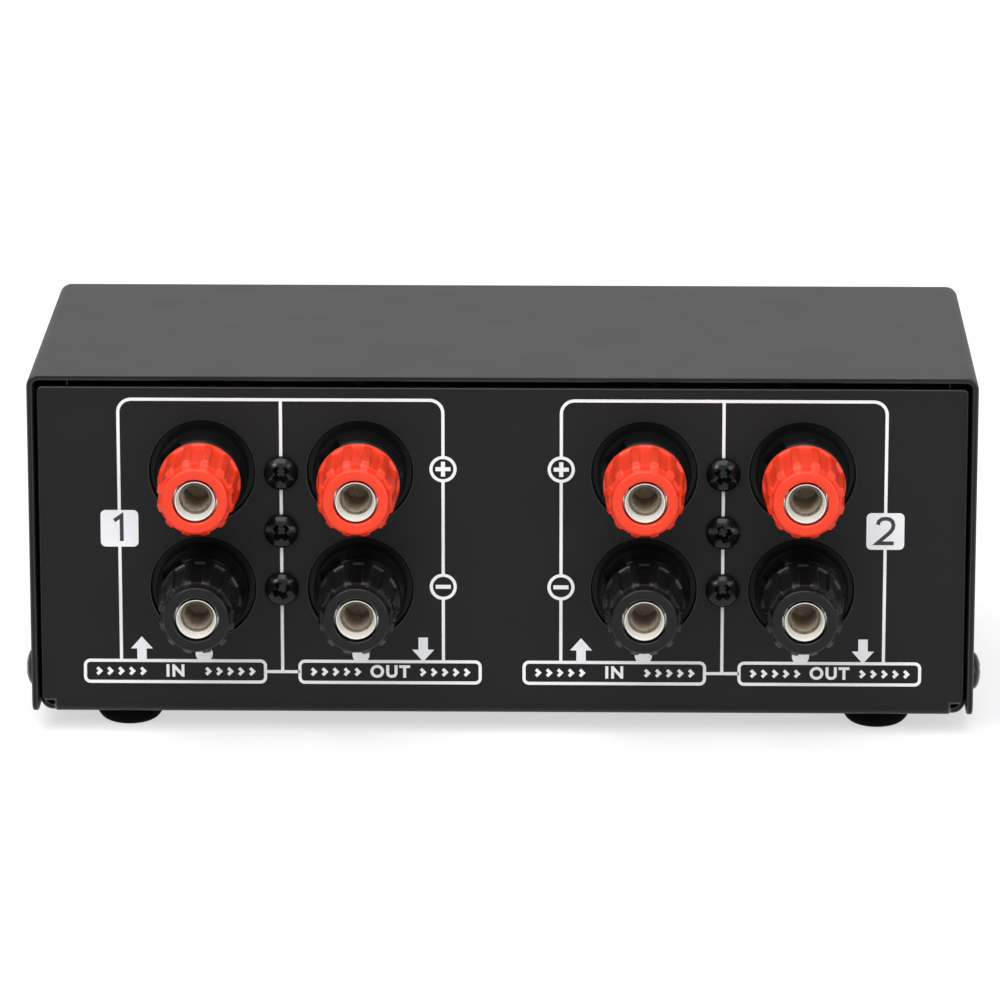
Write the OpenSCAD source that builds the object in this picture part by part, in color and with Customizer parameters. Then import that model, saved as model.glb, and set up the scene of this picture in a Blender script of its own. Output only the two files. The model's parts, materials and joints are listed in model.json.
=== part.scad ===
// Passive two-channel speaker volume control in a folded sheet-metal box.
// The knobs face -Y, the binding posts face +Y, +Z is up and the feet stand on Z = 0.
// Heights named "above the base" are measured from the underside of the chassis base.

/* [Case] */
// Width of the cover
case_w = 150; // [146:1:180]
// Depth of the cover, from front rim to rear rim
case_d = 65; // [63:1:90]
// Height of the cover's top above the base
case_h = 56; // [54:1:70]
// Thickness of the sheet metal
sheet_t = 1; // [0.8:0.1:1.5]
// Outer radius of the sheet's bends
bend_r = 2; // [1.8:0.1:3]
// How far the front and rear panels sit behind the cover's rims
panel_recess = 1.5; // [1:0.1:3]
// Gap between the rear panel's side edges and the cover
panel_side_gap = 0.4; // [0.3:0.05:0.8]
// Gap between the rest of the base and the cover's sides, small enough to keep light out
base_side_gap = 0.05; // [0.02:0.01:0.2]
// Gap between a panel's top edge and the cover
panel_top_gap = 1.2; // [0.5:0.1:2]
// Corner radius of the panels
panel_corner_r = 1; // [0.5:0.1:3]
// Height of the chassis base's side flanges
flange_h = 10; // [9:0.5:14]
// Size of the relief notches at the base's lower corners
corner_notch = 2.1; // [2:0.1:4]
// Height of the cover's lower edges above the base
cover_lift = 0.4; // [0.3:0.1:2]
// Radius of the lower corners of the cover's sides
cover_corner_r = 2; // [1:0.5:6]
// Height of the cover screws above the base
cover_screw_z = 5; // [4.2:0.1:7]
// Distance from a cover rim to the nearest cover screw
cover_screw_inset = 11; // [9:0.5:20]

/* [Feet] */
// Diameter of a rubber foot
foot_d = 10.8; // [8:0.2:14]
// Height of a rubber foot
foot_h = 3.3; // [2.5:0.1:6]
// Radius of a foot's lower edge
foot_edge_r = 2.6; // [1:0.1:3]
// Distance from the cover's side to a foot's middle
foot_inset_x = 15; // [10:0.5:30]
// Distance from the cover's rim to a foot's middle
foot_inset_y = 10; // [9:0.5:16]

/* [Terminal blocks] */
// Distance from the cover's side to the middle of a terminal block
block_inset = 40; // [38:0.5:45]
// Height of the middle of the blocks above the base
block_mid = 30.35; // [28:0.05:31]
// Distance between a block's two columns of posts
post_pitch = 25; // [22:0.5:28]
// Distance between the rows of posts, as on a double banana plug
row_pitch = 19.05; // [18:0.05:20]
// How far a boss stands out of the rear panel
boss_reach = 6.2; // [5.6:0.1:7]
// Diameter of a boss's rim, which the cap screws down to
boss_d = 13.4; // [13.2:0.1:14]
// Width of the chamfer around the rim
rim_chamfer = 0.25; // [0.1:0.05:0.3]
// Diameter of a boss's foot
foot_ring_d = 14.8; // [14.2:0.1:15.4]
// How far a boss's foot stands out of the rear panel
foot_ring_reach = 1.8; // [0.5:0.1:2.2]
// Gap between a boss's foot and its hole in the rear panel
boss_gap = 0.85; // [0.5:0.05:1]
// Width of the wire slot through a boss's wall
wire_slot_w = 4.2; // [2.5:0.1:5]
// Depth of the wire slot
wire_slot_depth = 3.6; // [3:0.1:4]
// Thickness of a block's plate behind the panel
block_t = 4; // [3:0.5:6]
// Plate left outside the bosses
block_margin = 2.8; // [1.2:0.1:3.5]
// Corner radius of a block's plate
block_corner_r = 3; // [1:0.5:5]
// Height of the barrier walls on the back of a block
barrier_h = 6; // [3:0.5:8]
// Thickness of the barrier walls
barrier_t = 1.6; // [1:0.1:2.5]
// Distance between the screws of a block
block_screw_pitch = 9.5; // [8:0.1:12]
// Wall around the thread of a block's screw
screw_boss_wall = 2; // [1.5:0.1:3]

/* [Binding posts] */
// Diameter of a stud's barrel
stud_d = 6.4; // [6:0.1:7]
// How far a stud reaches out of the rear panel
stud_reach = 18.35; // [17.8:0.05:22]
// Diameter of the banana bore
banana_d = 4.2; // [4:0.05:4.5]
// Depth of the banana bore
banana_depth = 11; // [8:0.1:11.2]
// Thickness of a stud's wall at the rim of its flared mouth
mouth_wall = 0.2; // [0.15:0.05:0.5]
// Depth of the flared mouth
mouth_depth = 1.7; // [0.8:0.1:2.5]
// Diameter of the wire hole across a stud
wire_hole_d = 2.8; // [1.5:0.1:3]
// Diameter of a stud's collar
collar_d = 10; // [8:0.2:11]
// Thickness of a stud's collar
collar_t = 1; // [0.6:0.1:1.4]
// Diameter of a stud's threaded tail
tail_d = 5; // [4:0.5:5]
// Length of the tail behind its nut
tail_spare = 2.4; // [1:0.1:4]
// Width across the flats of a stud nut
stud_nut_af = 8; // [8:0.5:9]
// Thickness of a stud nut
stud_nut_t = 4; // [2:0.5:5]
// Thickness of a solder tag
tag_t = 0.6; // [0.4:0.1:1]
// Width of a solder tag's tail
tag_w = 4; // [3:0.5:5]
// Length of a solder tag from the stud's axis
tag_len = 10; // [9.5:0.5:11]

/* [Post caps] */
// Diameter of a cap at its base
cap_d = 13.1; // [12.8:0.1:13.4]
// Diameter across the ribs at the nose end
cap_front_d = 12.2; // [11.6:0.1:12.6]
// How far a cap's nose stands ahead of its stud
nose_lead = 0.4; // [0.1:0.1:1]
// Diameter of the smooth nose
nose_d = 10.4; // [9.8:0.1:10.8]
// Length of the smooth nose
nose_len = 1.7; // [1:0.1:3]
// Radius of the nose's edge
nose_round = 0.4; // [0.2:0.05:0.6]
// Width of the chamfer around the nose's hole
nose_lip = 0.3; // [0.1:0.05:0.4]
// Height of the smooth band at the base
cap_band = 1; // [0.6:0.1:2]
// Number of ribs
cap_ribs = 12; // [8:1:14]
// Width of a rib
rib_w = 1.5; // [1:0.05:1.9]
// Height of a rib above the grooves
rib_h = 0.4; // [0.3:0.05:0.6]
// How far the ribs lie inside the base band
rib_set = 0.1; // [0.05:0.05:0.2]
// How far the ribs' ends stand ahead of the grooves
rib_lead = 0.4; // [0.1:0.1:0.8]
// Length of the slope at a rib's end
rib_slope = 0.8; // [0.4:0.1:1.2]
// Diameter of the threaded insert
insert_d = 9; // [8:0.1:9.4]
// Length of the threaded insert
insert_len = 8.8; // [7:0.2:10]
// Thickness of the insert's clamping flange
insert_flange_t = 0.8; // [0.6:0.1:1.2]
// Width of the shell's rim around the flange
flange_rim = 0.4; // [0.35:0.05:0.8]
// Length of the flange left bare below the shell
flange_bare = 0.5; // [0.2:0.1:0.5]

/* [Volume controls] */
// Distance from the cover's side to a knob's axis
knob_inset = 40; // [36:0.5:45]
// Height of the knob axes above the base
knob_mid = 28; // [25:0.5:30]
// Diameter of an attenuator housing
pad_d = 40; // [37:1:44]
// Depth of an attenuator housing
pad_depth = 22; // [19:0.5:24]
// Side wall of an attenuator housing
pad_wall = 2; // [1.2:0.1:2.5]
// Front wall of an attenuator housing
pad_front_t = 3; // [2:0.5:4]
// Thickness of an attenuator's back plate
pad_back_t = 1.5; // [1:0.1:3]
// Inner diameter of the resistance ring
ring_inner_d = 24; // [22:0.5:26]
// Outer diameter of the resistance ring
ring_outer_d = 33; // [31:0.5:33]
// Height of the resistance ring
ring_h = 7; // [5:0.5:8]
// Angle that the resistance ring covers
ring_angle = 316; // [312:1:330]
// Diameter of a shaft
shaft_d = 6; // [5.5:0.1:6.4]
// Depth of the flat on a shaft
shaft_flat = 0.75; // [0.4:0.05:1]
// Diameter of a bushing's thread
bushing_d = 9.5; // [9:0.1:10]
// How far a bushing reaches out of the front panel
bushing_reach = 6.5; // [5:0.5:8]
// Diameter of a bushing's flange
bushing_flange_d = 15; // [13:0.5:18]
// Thickness of a bushing's flange
bushing_flange_t = 1.5; // [1:0.1:2]
// Diameter of a bushing washer
washer_d = 17; // [15:0.5:19]
// Thickness of a bushing washer
washer_t = 0.8; // [0.5:0.1:1.2]
// Width across the flats of a bushing nut
bushing_nut_af = 14; // [13:0.5:15]
// Thickness of a bushing nut
bushing_nut_t = 2.5; // [2:0.1:3]
// Diameter of the pin that keeps a housing from turning
key_pin_d = 3; // [2:0.1:3.5]
// Distance from a knob axis to that pin
key_pin_r = 12; // [11:0.5:13]
// Width of an attenuator lug
lug_w = 4; // [3:0.5:5]
// Thickness of an attenuator lug
lug_t = 0.8; // [0.5:0.1:1]
// Length of a lug behind the back plate
lug_len = 6.5; // [5:0.5:8]
// Distance from a shaft's axis to the lugs
lug_r = 14; // [13:0.5:15]
// Angle between two neighbouring lugs
lug_angle = 40; // [34:1:45]
// Diameter of an insulated wire
wire_d = 1.8; // [1.2:0.1:2]
// Width of a wiper's arm
wiper_w = 4; // [3:0.5:5]
// Thickness of a wiper's arm
wiper_t = 1.2; // [0.8:0.1:2]

/* [Knobs] */
// Diameter of a knob's skirt
knob_d = 31; // [28:0.5:36]
// Diameter of a knob's fluted grip
grip_d = 28.6; // [27:0.2:34]
// Height of a knob
knob_h = 17.5; // [15:0.25:22]
// Gap between a knob and the front panel
knob_gap = 1.25; // [0.75:0.25:2]
// Height of the skirt
skirt_h = 2.6; // [1.5:0.1:4]
// Number of flutes around the grip
knob_flutes = 24; // [12:1:30]
// Radius of a flute
flute_r = 1.5; // [0.8:0.1:2]
// Depth of a flute
flute_depth = 0.7; // [0.3:0.05:1]
// Width of the chamfer around a knob's face
face_chamfer = 1; // [0.4:0.1:1.5]
// Depth of the dish in a knob's face
dish_depth = 0.5; // [0.2:0.1:1]
// Width of the ring around the dish
dish_rim = 2.8; // [2:0.1:4]
// Room around the nut, inside a knob
nut_room = 2; // [1:0.1:2.5]
// Thickness of a knob in front of its shaft
knob_web = 3; // [2:0.1:4]
// Width of a pointer
pointer_w = 1.4; // [0.8:0.1:2]
// Length of a pointer
pointer_len = 8; // [5:0.2:9]
// Depth of a pointer's inlay
pointer_t = 0.8; // [0.5:0.1:1.2]
// Diameter of a knob's set screw
set_screw_d = 3; // [2.5:0.1:4]
// Length of a knob's set screw
set_screw_len = 5; // [4:0.5:7]

/* [Screws] */
// Diameter of a machine screw's thread
screw_d = 3; // [2.5:0.1:3.2]
// Diameter of a terminal screw's head
screw_head_d = 5.4; // [4.8:0.1:6]
// Diameter of a cover screw's head
cover_head_d = 6; // [5:0.1:7]
// Height of a screw's head
screw_head_h = 1.8; // [1.6:0.1:2.4]
// Length of a screw under its head
screw_len = 8; // [7:0.5:9]
// Length of a cover screw under its head
cover_screw_len = 5; // [4:0.5:8]
// Extra diameter of a screw's clearance hole
screw_play = 0.4; // [0.2:0.1:0.6]

/* [Fits] */
// Radial clearance of a turning, sliding or threaded fit
run_fit = 0.05; // [0.02:0.01:0.08]
// Gap between neighbouring pieces that don't touch
clear = 0.3; // [0.2:0.05:0.4]

/* [Hidden] */
$fn = 64;
// Overlap of joined shapes, and overshoot of cuts
eps = 0.01;
over = 1;

// Case
base_z = foot_h;
panel_y = case_d / 2 - panel_recess;
panel_w = case_w - 2 * (sheet_t + panel_side_gap);
base_w = case_w - 2 * (sheet_t + base_side_gap);
panel_h = case_h - sheet_t - panel_top_gap;
cover_screw_y = case_d / 2 - cover_screw_inset;
foot_round = min(foot_edge_r, foot_h - clear, foot_d / 2 - clear);
screw_hole_d = screw_d + screw_play;
tapped_d = screw_d + 2 * run_fit;
// Cross recess of a screw, as shares of its head's height and diameter
recess_depth_share = 0.6;
recess_len_share = 0.62;
recess_w_share = 0.19;
block_x = case_w / 2 - block_inset;
knob_x = case_w / 2 - knob_inset;

// Distances along a post are measured outwards from the rear panel's outer face
collar_s = boss_reach - wire_slot_depth;
mouth_d = stud_d - 2 * mouth_wall;
well_d = collar_d + 2 * clear;
post_hole_d = foot_ring_d + 2 * boss_gap;
block_w = post_pitch + foot_ring_d + 2 * block_margin;
block_h = row_pitch + foot_ring_d + 2 * block_margin;
block_back_s = -sheet_t - block_t;
screw_boss_d = screw_d + 2 * screw_boss_wall;
wire_hole_s = boss_reach - wire_hole_d / 2;
wire_slot_turn = -45;
tag_back_s = block_back_s - tag_t;
stud_nut_s = tag_back_s - stud_nut_t;
tail_s = stud_nut_s - tail_spare;
tag_ring_d = stud_nut_af + 2 * clear;
nut_corner_r = stud_nut_af / 2 / cos(30);
near_joint_r = nut_corner_r + wire_d / 2 + clear;
far_joint_r = near_joint_r + wire_d + clear;

// Caps
shell_s = boss_reach + flange_bare;
flange_top_s = boss_reach + insert_flange_t;
insert_top_s = boss_reach + insert_len;
nose_s = stud_reach + nose_lead;
shoulder_s = nose_s - nose_len;
rib_end_s = shoulder_s + rib_lead;
insert_flange_d = cap_d - 2 * flange_rim;
nose_hole_d = stud_d + 2 * clear;
rib_angle = rib_w / (PI * cap_d) * 360;
rib_foot_r = (insert_d + nose_d) / 4;

// Distances along a volume control are measured outwards from the front panel's outer face
pad_front_z = -sheet_t - pad_front_t;
pad_open_z = -sheet_t - pad_depth;
pad_back_z = pad_open_z - pad_back_t;
ring_back_z = pad_front_z - ring_h;
bushing_back_z = pad_front_z - bushing_flange_t;
wiper_pad_h = 1;
wiper_hub_d = shaft_d + wiper_w;
wiper_back_z = ring_back_z - wiper_pad_h - wiper_t;
wiper_r = (ring_inner_d + ring_outer_d) / 4;
shaft_back_z = wiper_back_z - wiper_pad_h;
washer_top_z = washer_t;
nut_top_z = washer_top_z + bushing_nut_t;
knob_top_z = knob_gap + knob_h;
hub_z = bushing_reach + 2 * clear;
shaft_top_z = knob_top_z - knob_web - clear;
nut_room_d = bushing_nut_af / cos(30) + 2 * nut_room;
dish_d = grip_d - 2 * (flute_depth + dish_rim);
set_screw_z = (hub_z + shaft_top_z) / 2;
set_screw_r = shaft_d / 2 - shaft_flat + run_fit;
pointer_r = dish_d / 2 - 2 * clear - pointer_len / 2;
pointer_top_z = knob_top_z - dish_depth;
lug_y = panel_y + pad_back_z - lug_len / 2;
lug_lip = 0.8;
// Share of a set screw's diameter across the corners of its socket
socket_share = 0.58;
// How far a wire runs straight on from its lug and into its tag
hot_rise = 20;
return_drop = 7;
tag_run = 14;

SIDES = ["right", "left"];
POSTS = [
    for (side = SIDES, port = ["in", "out"], pole = ["pos", "neg"]) str(side, "_", port, "_", pole)
];
POST_IDS = [for (i = [0:len(POSTS) - 1]) i];
// Turn of each cap's ribs when it is screwed home
CAP_TURNS = [3, 12, 22, 8, 17, 26, 6, 14];

function side_sign(side) = side == "right" ? 1 : -1;
// Place of post i in the order of POSTS: its column, row and channel
function post_side(i) = i < 4 ? 1 : -1;
function post_port(i) = i % 4 < 2 ? 1 : -1;
function post_pole(i) = i % 2 == 0 ? 1 : -1;
function post_x(i) = post_side(i) * block_x + post_port(i) * post_pitch / 2;
function post_z(i) = base_z + block_mid + post_pole(i) * row_pitch / 2;

// Turns +Z outwards from the rear panel, with X kept and +Z of the box along -Y
module on_rear(x, z) translate([x, panel_y, z]) rotate([-90, 0, 0]) children();
// Turns +Z outwards from the front panel, with X kept and +Z of the box along +Y
module on_front(x, z) translate([x, -panel_y, z]) rotate([90, 0, 0]) children();
module at_post(i) on_rear(post_x(i), post_z(i)) children();
module at_block(side) on_rear(side_sign(side) * block_x, base_z + block_mid) children();
module at_knob(side) on_front(side_sign(side) * knob_x, base_z + knob_mid) children();
module at_block_screws() for (k = [-1:1]) translate([0, k * block_screw_pitch]) children();

// A cylinder from height a to height b
module rod(d, a, b) translate([0, 0, a]) cylinder(d = d, h = b - a);

module round_rect(w, h, r) {
    square([w - 2 * r, h], center = true);
    square([w, h - 2 * r], center = true);
    for (x = [-1, 1], y = [-1, 1]) translate([x * (w / 2 - r), y * (h / 2 - r)]) circle(r);
}

// An upright outline from y = 0 to h whose two lower corners are round
module round_foot(w, h, r) {
    translate([-w / 2, r]) square([w, h - r]);
    translate([-w / 2 + r, 0]) square([w - 2 * r, h]);
    for (x = [-1, 1]) translate([x * (w / 2 - r), r]) circle(r);
}

// A sheet bent up at both ends, with its bends at y = 0
module bent_sheet(w, h) difference() {
    round_foot(w, h, bend_r);
    translate([0, sheet_t]) round_foot(w - 2 * sheet_t, h, bend_r - sheet_t);
}

// Draws a side view along X, and a front view along Y, both centred
module along_x(len) rotate([90, 0, 90]) linear_extrude(len, center = true) children();
module along_y(len) rotate([90, 0, 0]) linear_extrude(len, center = true) children();

// A pan head screw along +Z, with its head's underside at z = 0 and a cross recess
module pan_screw(head_d, len) {
    rim_h = screw_head_h / 2;
    dome_r = (pow(head_d / 2, 2) + rim_h * rim_h) / (2 * rim_h);
    recess_h = screw_head_h * recess_depth_share;
    difference() {
        union() {
            rotate_extrude() intersection() {
                translate([0, screw_head_h - dome_r]) circle(dome_r);
                square([head_d / 2, screw_head_h]);
            }
            rod(screw_d, -len, eps);
        }
        for (turn = [0, 90]) rotate(turn) translate([0, 0, screw_head_h])
            cube([head_d * recess_len_share, head_d * recess_w_share, 2 * recess_h], center = true);
    }
}

// A hexagon nut from height a to height b
module hex_nut(af, hole_d, a, b) difference() {
    translate([0, 0, a]) cylinder(d = af / cos(30), h = b - a, $fn = 6);
    rod(hole_d, a - over, b + over);
}

// Points and directions along a Bezier curve with four control points
function bezier(p, t) =
    pow(1 - t, 3) * p[0] + 3 * t * pow(1 - t, 2) * p[1] + 3 * t * t * (1 - t) * p[2] + pow(t, 3) * p[3];
function bezier_dir(p, t) =
    pow(1 - t, 2) * (p[1] - p[0]) + 2 * t * (1 - t) * (p[2] - p[1]) + t * t * (p[3] - p[2]);
function unit(v) = v / norm(v);

// A wire of round section along a Bezier curve, that never runs parallel to the side direction
module wire(p, side_dir, rings = 10, sides = 8) {
    points = [
        for (k = [0:rings - 1])
            let (t = k / (rings - 1), d = unit(bezier_dir(p, t)))
            let (u = unit(cross(side_dir, d)), v = cross(d, u))
            for (j = [0:sides - 1])
                bezier(p, t) + wire_d / 2 * (cos(360 * j / sides) * u + sin(360 * j / sides) * v)
    ];
    last = (rings - 1) * sides;
    walls = [
        for (k = [0:rings - 2], j = [0:sides - 1])
            let (a = k * sides + j, b = k * sides + (j + 1) % sides)
            each [[a, a + sides, b], [b, a + sides, b + sides]]
    ];
    first_end = [for (j = [1:sides - 2]) [0, j, j + 1]];
    last_end = [for (j = [1:sides - 2]) [last, last + j + 1, last + j]];
    polyhedron(points, concat(walls, first_end, last_end), convexity = 4);
}

// Chassis base: front panel, floor and rear panel in one sheet, with side flanges
module panel(width, y) translate([0, y, base_z + (panel_h + corner_notch) / 2])
    along_y(sheet_t) round_rect(width, panel_h - corner_notch, panel_corner_r);

module chassis_base() color("#2b2b2c") difference() {
    union() {
        translate([0, 0, base_z]) along_x(panel_w - 2 * corner_notch) bent_sheet(2 * panel_y, panel_h);
        translate([0, 0, base_z]) along_y(2 * (panel_y - corner_notch)) bent_sheet(base_w, flange_h);
        panel(panel_w, panel_y - sheet_t / 2);
        panel(base_w, sheet_t / 2 - panel_y);
    }
    for (i = POST_IDS) at_post(i) rod(post_hole_d, -2 * sheet_t, sheet_t);
    for (side = SIDES) {
        at_block(side) at_block_screws() rod(screw_hole_d, -2 * sheet_t, sheet_t);
        at_knob(side) rod(bushing_d + screw_play, -2 * sheet_t, sheet_t);
        at_knob(side) translate([0, key_pin_r]) rod(key_pin_d + screw_play, -2 * sheet_t, sheet_t);
    }
    at_cover_screws() rod(tapped_d, -cover_screw_len, cover_screw_len);
}

// The four places where the cover screws down to its flanges, with +Z outwards
module at_cover_screws() for (x = [-1, 1], y = [-1, 1])
    translate([x * case_w / 2, y * cover_screw_y, base_z + cover_screw_z]) rotate([0, x * 90, 0]) children();

module top_cover() color("#3a3a3b") difference() {
    intersection() {
        translate([0, 0, base_z + case_h]) along_y(case_d)
            mirror([0, 1]) bent_sheet(case_w, case_h - cover_lift);
        translate([0, 0, base_z + cover_lift]) along_x(2 * case_w)
            round_foot(case_d, case_h, cover_corner_r);
    }
    at_cover_screws() rod(screw_hole_d, -2 * sheet_t, sheet_t);
}

module rubber_feet() color("#141414")
    for (x = [-1, 1], y = [-1, 1])
        translate([x * (case_w / 2 - foot_inset_x), y * (case_d / 2 - foot_inset_y), 0])
            rotate_extrude() intersection() {
                round_foot(foot_d, foot_h, foot_round);
                square([foot_d, foot_h]);
            }

module cover_screws() color("#1c1c1c") at_cover_screws() pan_screw(cover_head_d, cover_screw_len);

// Terminal block: one moulding that holds the four posts of a channel
module block_posts() for (x = [-1, 1], y = [-1, 1])
    translate([x * post_pitch / 2, y * row_pitch / 2]) children();

// Half outline of a boss: straight foot, tapered wall and chamfered rim
module boss_outline() polygon([
    [0, -sheet_t - eps],
    [foot_ring_d / 2, -sheet_t - eps],
    [foot_ring_d / 2, foot_ring_reach],
    [boss_d / 2, boss_reach - rim_chamfer],
    [boss_d / 2 - rim_chamfer, boss_reach],
    [0, boss_reach],
]);

module terminal_block(side) color("#181818") at_block(side) difference() {
    union() {
        translate([0, 0, block_back_s]) linear_extrude(block_t) round_rect(block_w, block_h, block_corner_r);
        block_posts() rotate_extrude() boss_outline();
        at_block_screws() rod(screw_boss_d, block_back_s - barrier_h, block_back_s + eps);
        translate([0, 0, block_back_s - barrier_h / 2]) {
            cube([barrier_t, block_h, barrier_h + eps], center = true);
            cube([block_w, barrier_t, barrier_h + eps], center = true);
        }
    }
    block_posts() {
        rod(well_d, collar_s, boss_reach + over);
        rod(collar_d + 2 * run_fit, collar_s - collar_t, collar_s + eps);
        rod(tail_d + 2 * run_fit, block_back_s - over, collar_s);
        rotate(wire_slot_turn) translate([0, -wire_slot_w / 2, collar_s])
            cube([foot_ring_d, wire_slot_w, boss_reach]);
    }
    at_block_screws() rod(tapped_d, block_back_s - barrier_h - over, 0);
}

module terminal_screws() color("#1c1c1c")
    for (side = SIDES) at_block(side) at_block_screws() pan_screw(screw_head_d, screw_len);

// The funnel that leads a plug into a stud's bore, cut on past the stud's end
module flared_mouth() {
    flare = (mouth_d - banana_d) / mouth_depth;
    translate([0, 0, stud_reach - mouth_depth])
        cylinder(d1 = banana_d, d2 = mouth_d + flare * over, h = mouth_depth + over);
}

// Stud: tail, collar and barrel turned in one piece, bored for a banana plug and cross-drilled for wire
module stud(i) color("#c9c6bd") at_post(i) difference() {
    union() {
        rod(tail_d, tail_s, collar_s - collar_t + eps);
        rod(collar_d, collar_s - collar_t, collar_s);
        rod(stud_d, collar_s - eps, stud_reach);
    }
    rod(banana_d, stud_reach - banana_depth, stud_reach + over);
    flared_mouth();
    translate([0, 0, wire_hole_s]) rotate([0, 90, wire_slot_turn]) rod(wire_hole_d, -stud_d, stud_d);
}

module stud_nuts() color("#b9b6ac")
    for (i = POST_IDS) at_post(i) hex_nut(stud_nut_af, tail_d + 2 * run_fit, stud_nut_s, tag_back_s);

module solder_tags() color("#c8b98a") for (i = POST_IDS) at_post(i) translate([0, 0, tag_back_s])
    linear_extrude(tag_t) difference() {
        union() {
            circle(d = tag_ring_d);
            translate([-tag_w / 2, post_pole(i) > 0 ? -tag_len : 0]) square([tag_w, tag_len]);
        }
        circle(d = tail_d + 2 * run_fit);
    }

// Cap insert: threaded metal sleeve with the flange that clamps the wire
module cap_insert(i) color("#c2bfb4") at_post(i) difference() {
    union() {
        rod(insert_flange_d, boss_reach, flange_top_s);
        rod(insert_d, boss_reach, insert_top_s);
    }
    rod(stud_d + 2 * run_fit, boss_reach - over, insert_top_s + over);
}

// Half outline of a cap without its ribs: base band, tapered grooves and smooth nose
module cap_outline() {
    groove_r = cap_d / 2 - rib_set - rib_h;
    groove_front_r = cap_front_d / 2 - rib_h;
    polygon([
        [0, shell_s],
        [cap_d / 2, shell_s],
        [cap_d / 2, shell_s + cap_band],
        [groove_r, shell_s + cap_band],
        [groove_front_r, shoulder_s],
        [nose_d / 2, shoulder_s],
        [nose_d / 2, nose_s - nose_round],
        [nose_d / 2 - nose_round, nose_s],
        [0, nose_s],
    ]);
    translate([nose_d / 2 - nose_round, nose_s - nose_round]) circle(nose_round);
}

module rib_outline() polygon([
    [rib_foot_r, shell_s + cap_band / 2],
    [cap_d / 2 - rib_set, shell_s + cap_band / 2],
    [cap_front_d / 2, rib_end_s - rib_slope],
    [nose_d / 2, rib_end_s],
    [rib_foot_r, rib_end_s],
]);

module cap_shell(i) color(post_pole(i) > 0 ? "#f2462e" : "#1d1d1f") at_post(i) difference() {
    union() {
        rotate_extrude() cap_outline();
        for (k = [0:cap_ribs - 1])
            rotate(CAP_TURNS[i] + k * 360 / cap_ribs) rotate_extrude(angle = rib_angle) rib_outline();
    }
    rod(insert_flange_d + 2 * run_fit, shell_s - over, flange_top_s);
    rod(insert_d + 2 * run_fit, shell_s - over, insert_top_s + clear);
    rod(nose_hole_d, shell_s, nose_s + over);
    translate([0, 0, nose_s - nose_lip])
        cylinder(d1 = nose_hole_d, d2 = nose_hole_d + 4 * nose_lip, h = 2 * nose_lip);
}

// Attenuator: moulded cup behind the front panel, with a resistance ring, bushing and back plate
module attenuator_housing(side) color("#3b2a22") at_knob(side) difference() {
    union() {
        rod(pad_d, pad_open_z, -sheet_t);
        translate([0, key_pin_r]) rod(key_pin_d, -sheet_t - eps, 0);
    }
    rod(pad_d - 2 * pad_wall, pad_open_z - over, pad_front_z);
    rod(bushing_d + 2 * run_fit, pad_front_z - over, over);
}

module resistance_ring(side) color("#b08a4a") at_knob(side) translate([0, 0, ring_back_z])
    rotate(90 - ring_angle / 2) rotate_extrude(angle = ring_angle)
        translate([ring_inner_d / 2, 0]) square([(ring_outer_d - ring_inner_d) / 2, ring_h]);

module bushing(side) color("#b7b4aa") at_knob(side) difference() {
    union() {
        rod(bushing_flange_d, bushing_back_z, pad_front_z);
        rod(bushing_d, bushing_back_z, bushing_reach);
    }
    rod(shaft_d + 2 * run_fit, bushing_back_z - over, bushing_reach + over);
}

module bushing_washers() color("#b7b4aa") for (side = SIDES) at_knob(side) difference() {
    rod(washer_d, 0, washer_top_z);
    rod(bushing_d + 2 * run_fit, -over, washer_top_z + over);
}

module bushing_nuts() color("#b7b4aa") for (side = SIDES) at_knob(side)
    hex_nut(bushing_nut_af, bushing_d + 2 * run_fit, washer_top_z, nut_top_z);

// The three lug places on a back plate, on an arc below the shaft
module at_lugs() for (k = [-1:1])
    translate([lug_r * sin(k * lug_angle), -lug_r * cos(k * lug_angle)]) children();

module attenuator_back(side) color("#5a4632") at_knob(side) difference() {
    rod(pad_d, pad_back_z, pad_open_z);
    at_lugs() translate([0, 0, pad_back_z])
        cube([lug_w + 2 * run_fit, lug_t + 2 * run_fit, 4 * pad_back_t], center = true);
}

// Lugs: tabs through the back plate, each held by a head on the plate's inner face
module attenuator_lugs() color("#c8b98a") for (side = SIDES) at_knob(side) at_lugs() {
    translate([-lug_w / 2, -lug_t / 2, pad_back_z - lug_len])
        cube([lug_w, lug_t, lug_len + pad_back_t + eps]);
    translate([-lug_w / 2 - lug_lip, -lug_t / 2 - lug_lip, pad_open_z])
        cube([lug_w + 2 * lug_lip, lug_t + 2 * lug_lip, lug_lip]);
}

// Shaft with a flat for the knob's set screw
module volume_shaft(side) color("#c4c1b8") at_knob(side) difference() {
    rod(shaft_d, shaft_back_z, shaft_top_z);
    translate([-shaft_d, shaft_flat - 1.5 * shaft_d, hub_z]) cube([2 * shaft_d, shaft_d, knob_top_z]);
}

module wiper(side) color("#c79a4b") at_knob(side) difference() {
    union() {
        rod(wiper_hub_d, wiper_back_z, bushing_back_z - clear);
        translate([-wiper_w / 2, 0, wiper_back_z]) cube([wiper_w, wiper_r, wiper_t]);
        translate([0, wiper_r]) rod(wiper_w, wiper_back_z, ring_back_z);
    }
    rod(shaft_d + 2 * run_fit, wiper_back_z - over, 0);
}

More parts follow.
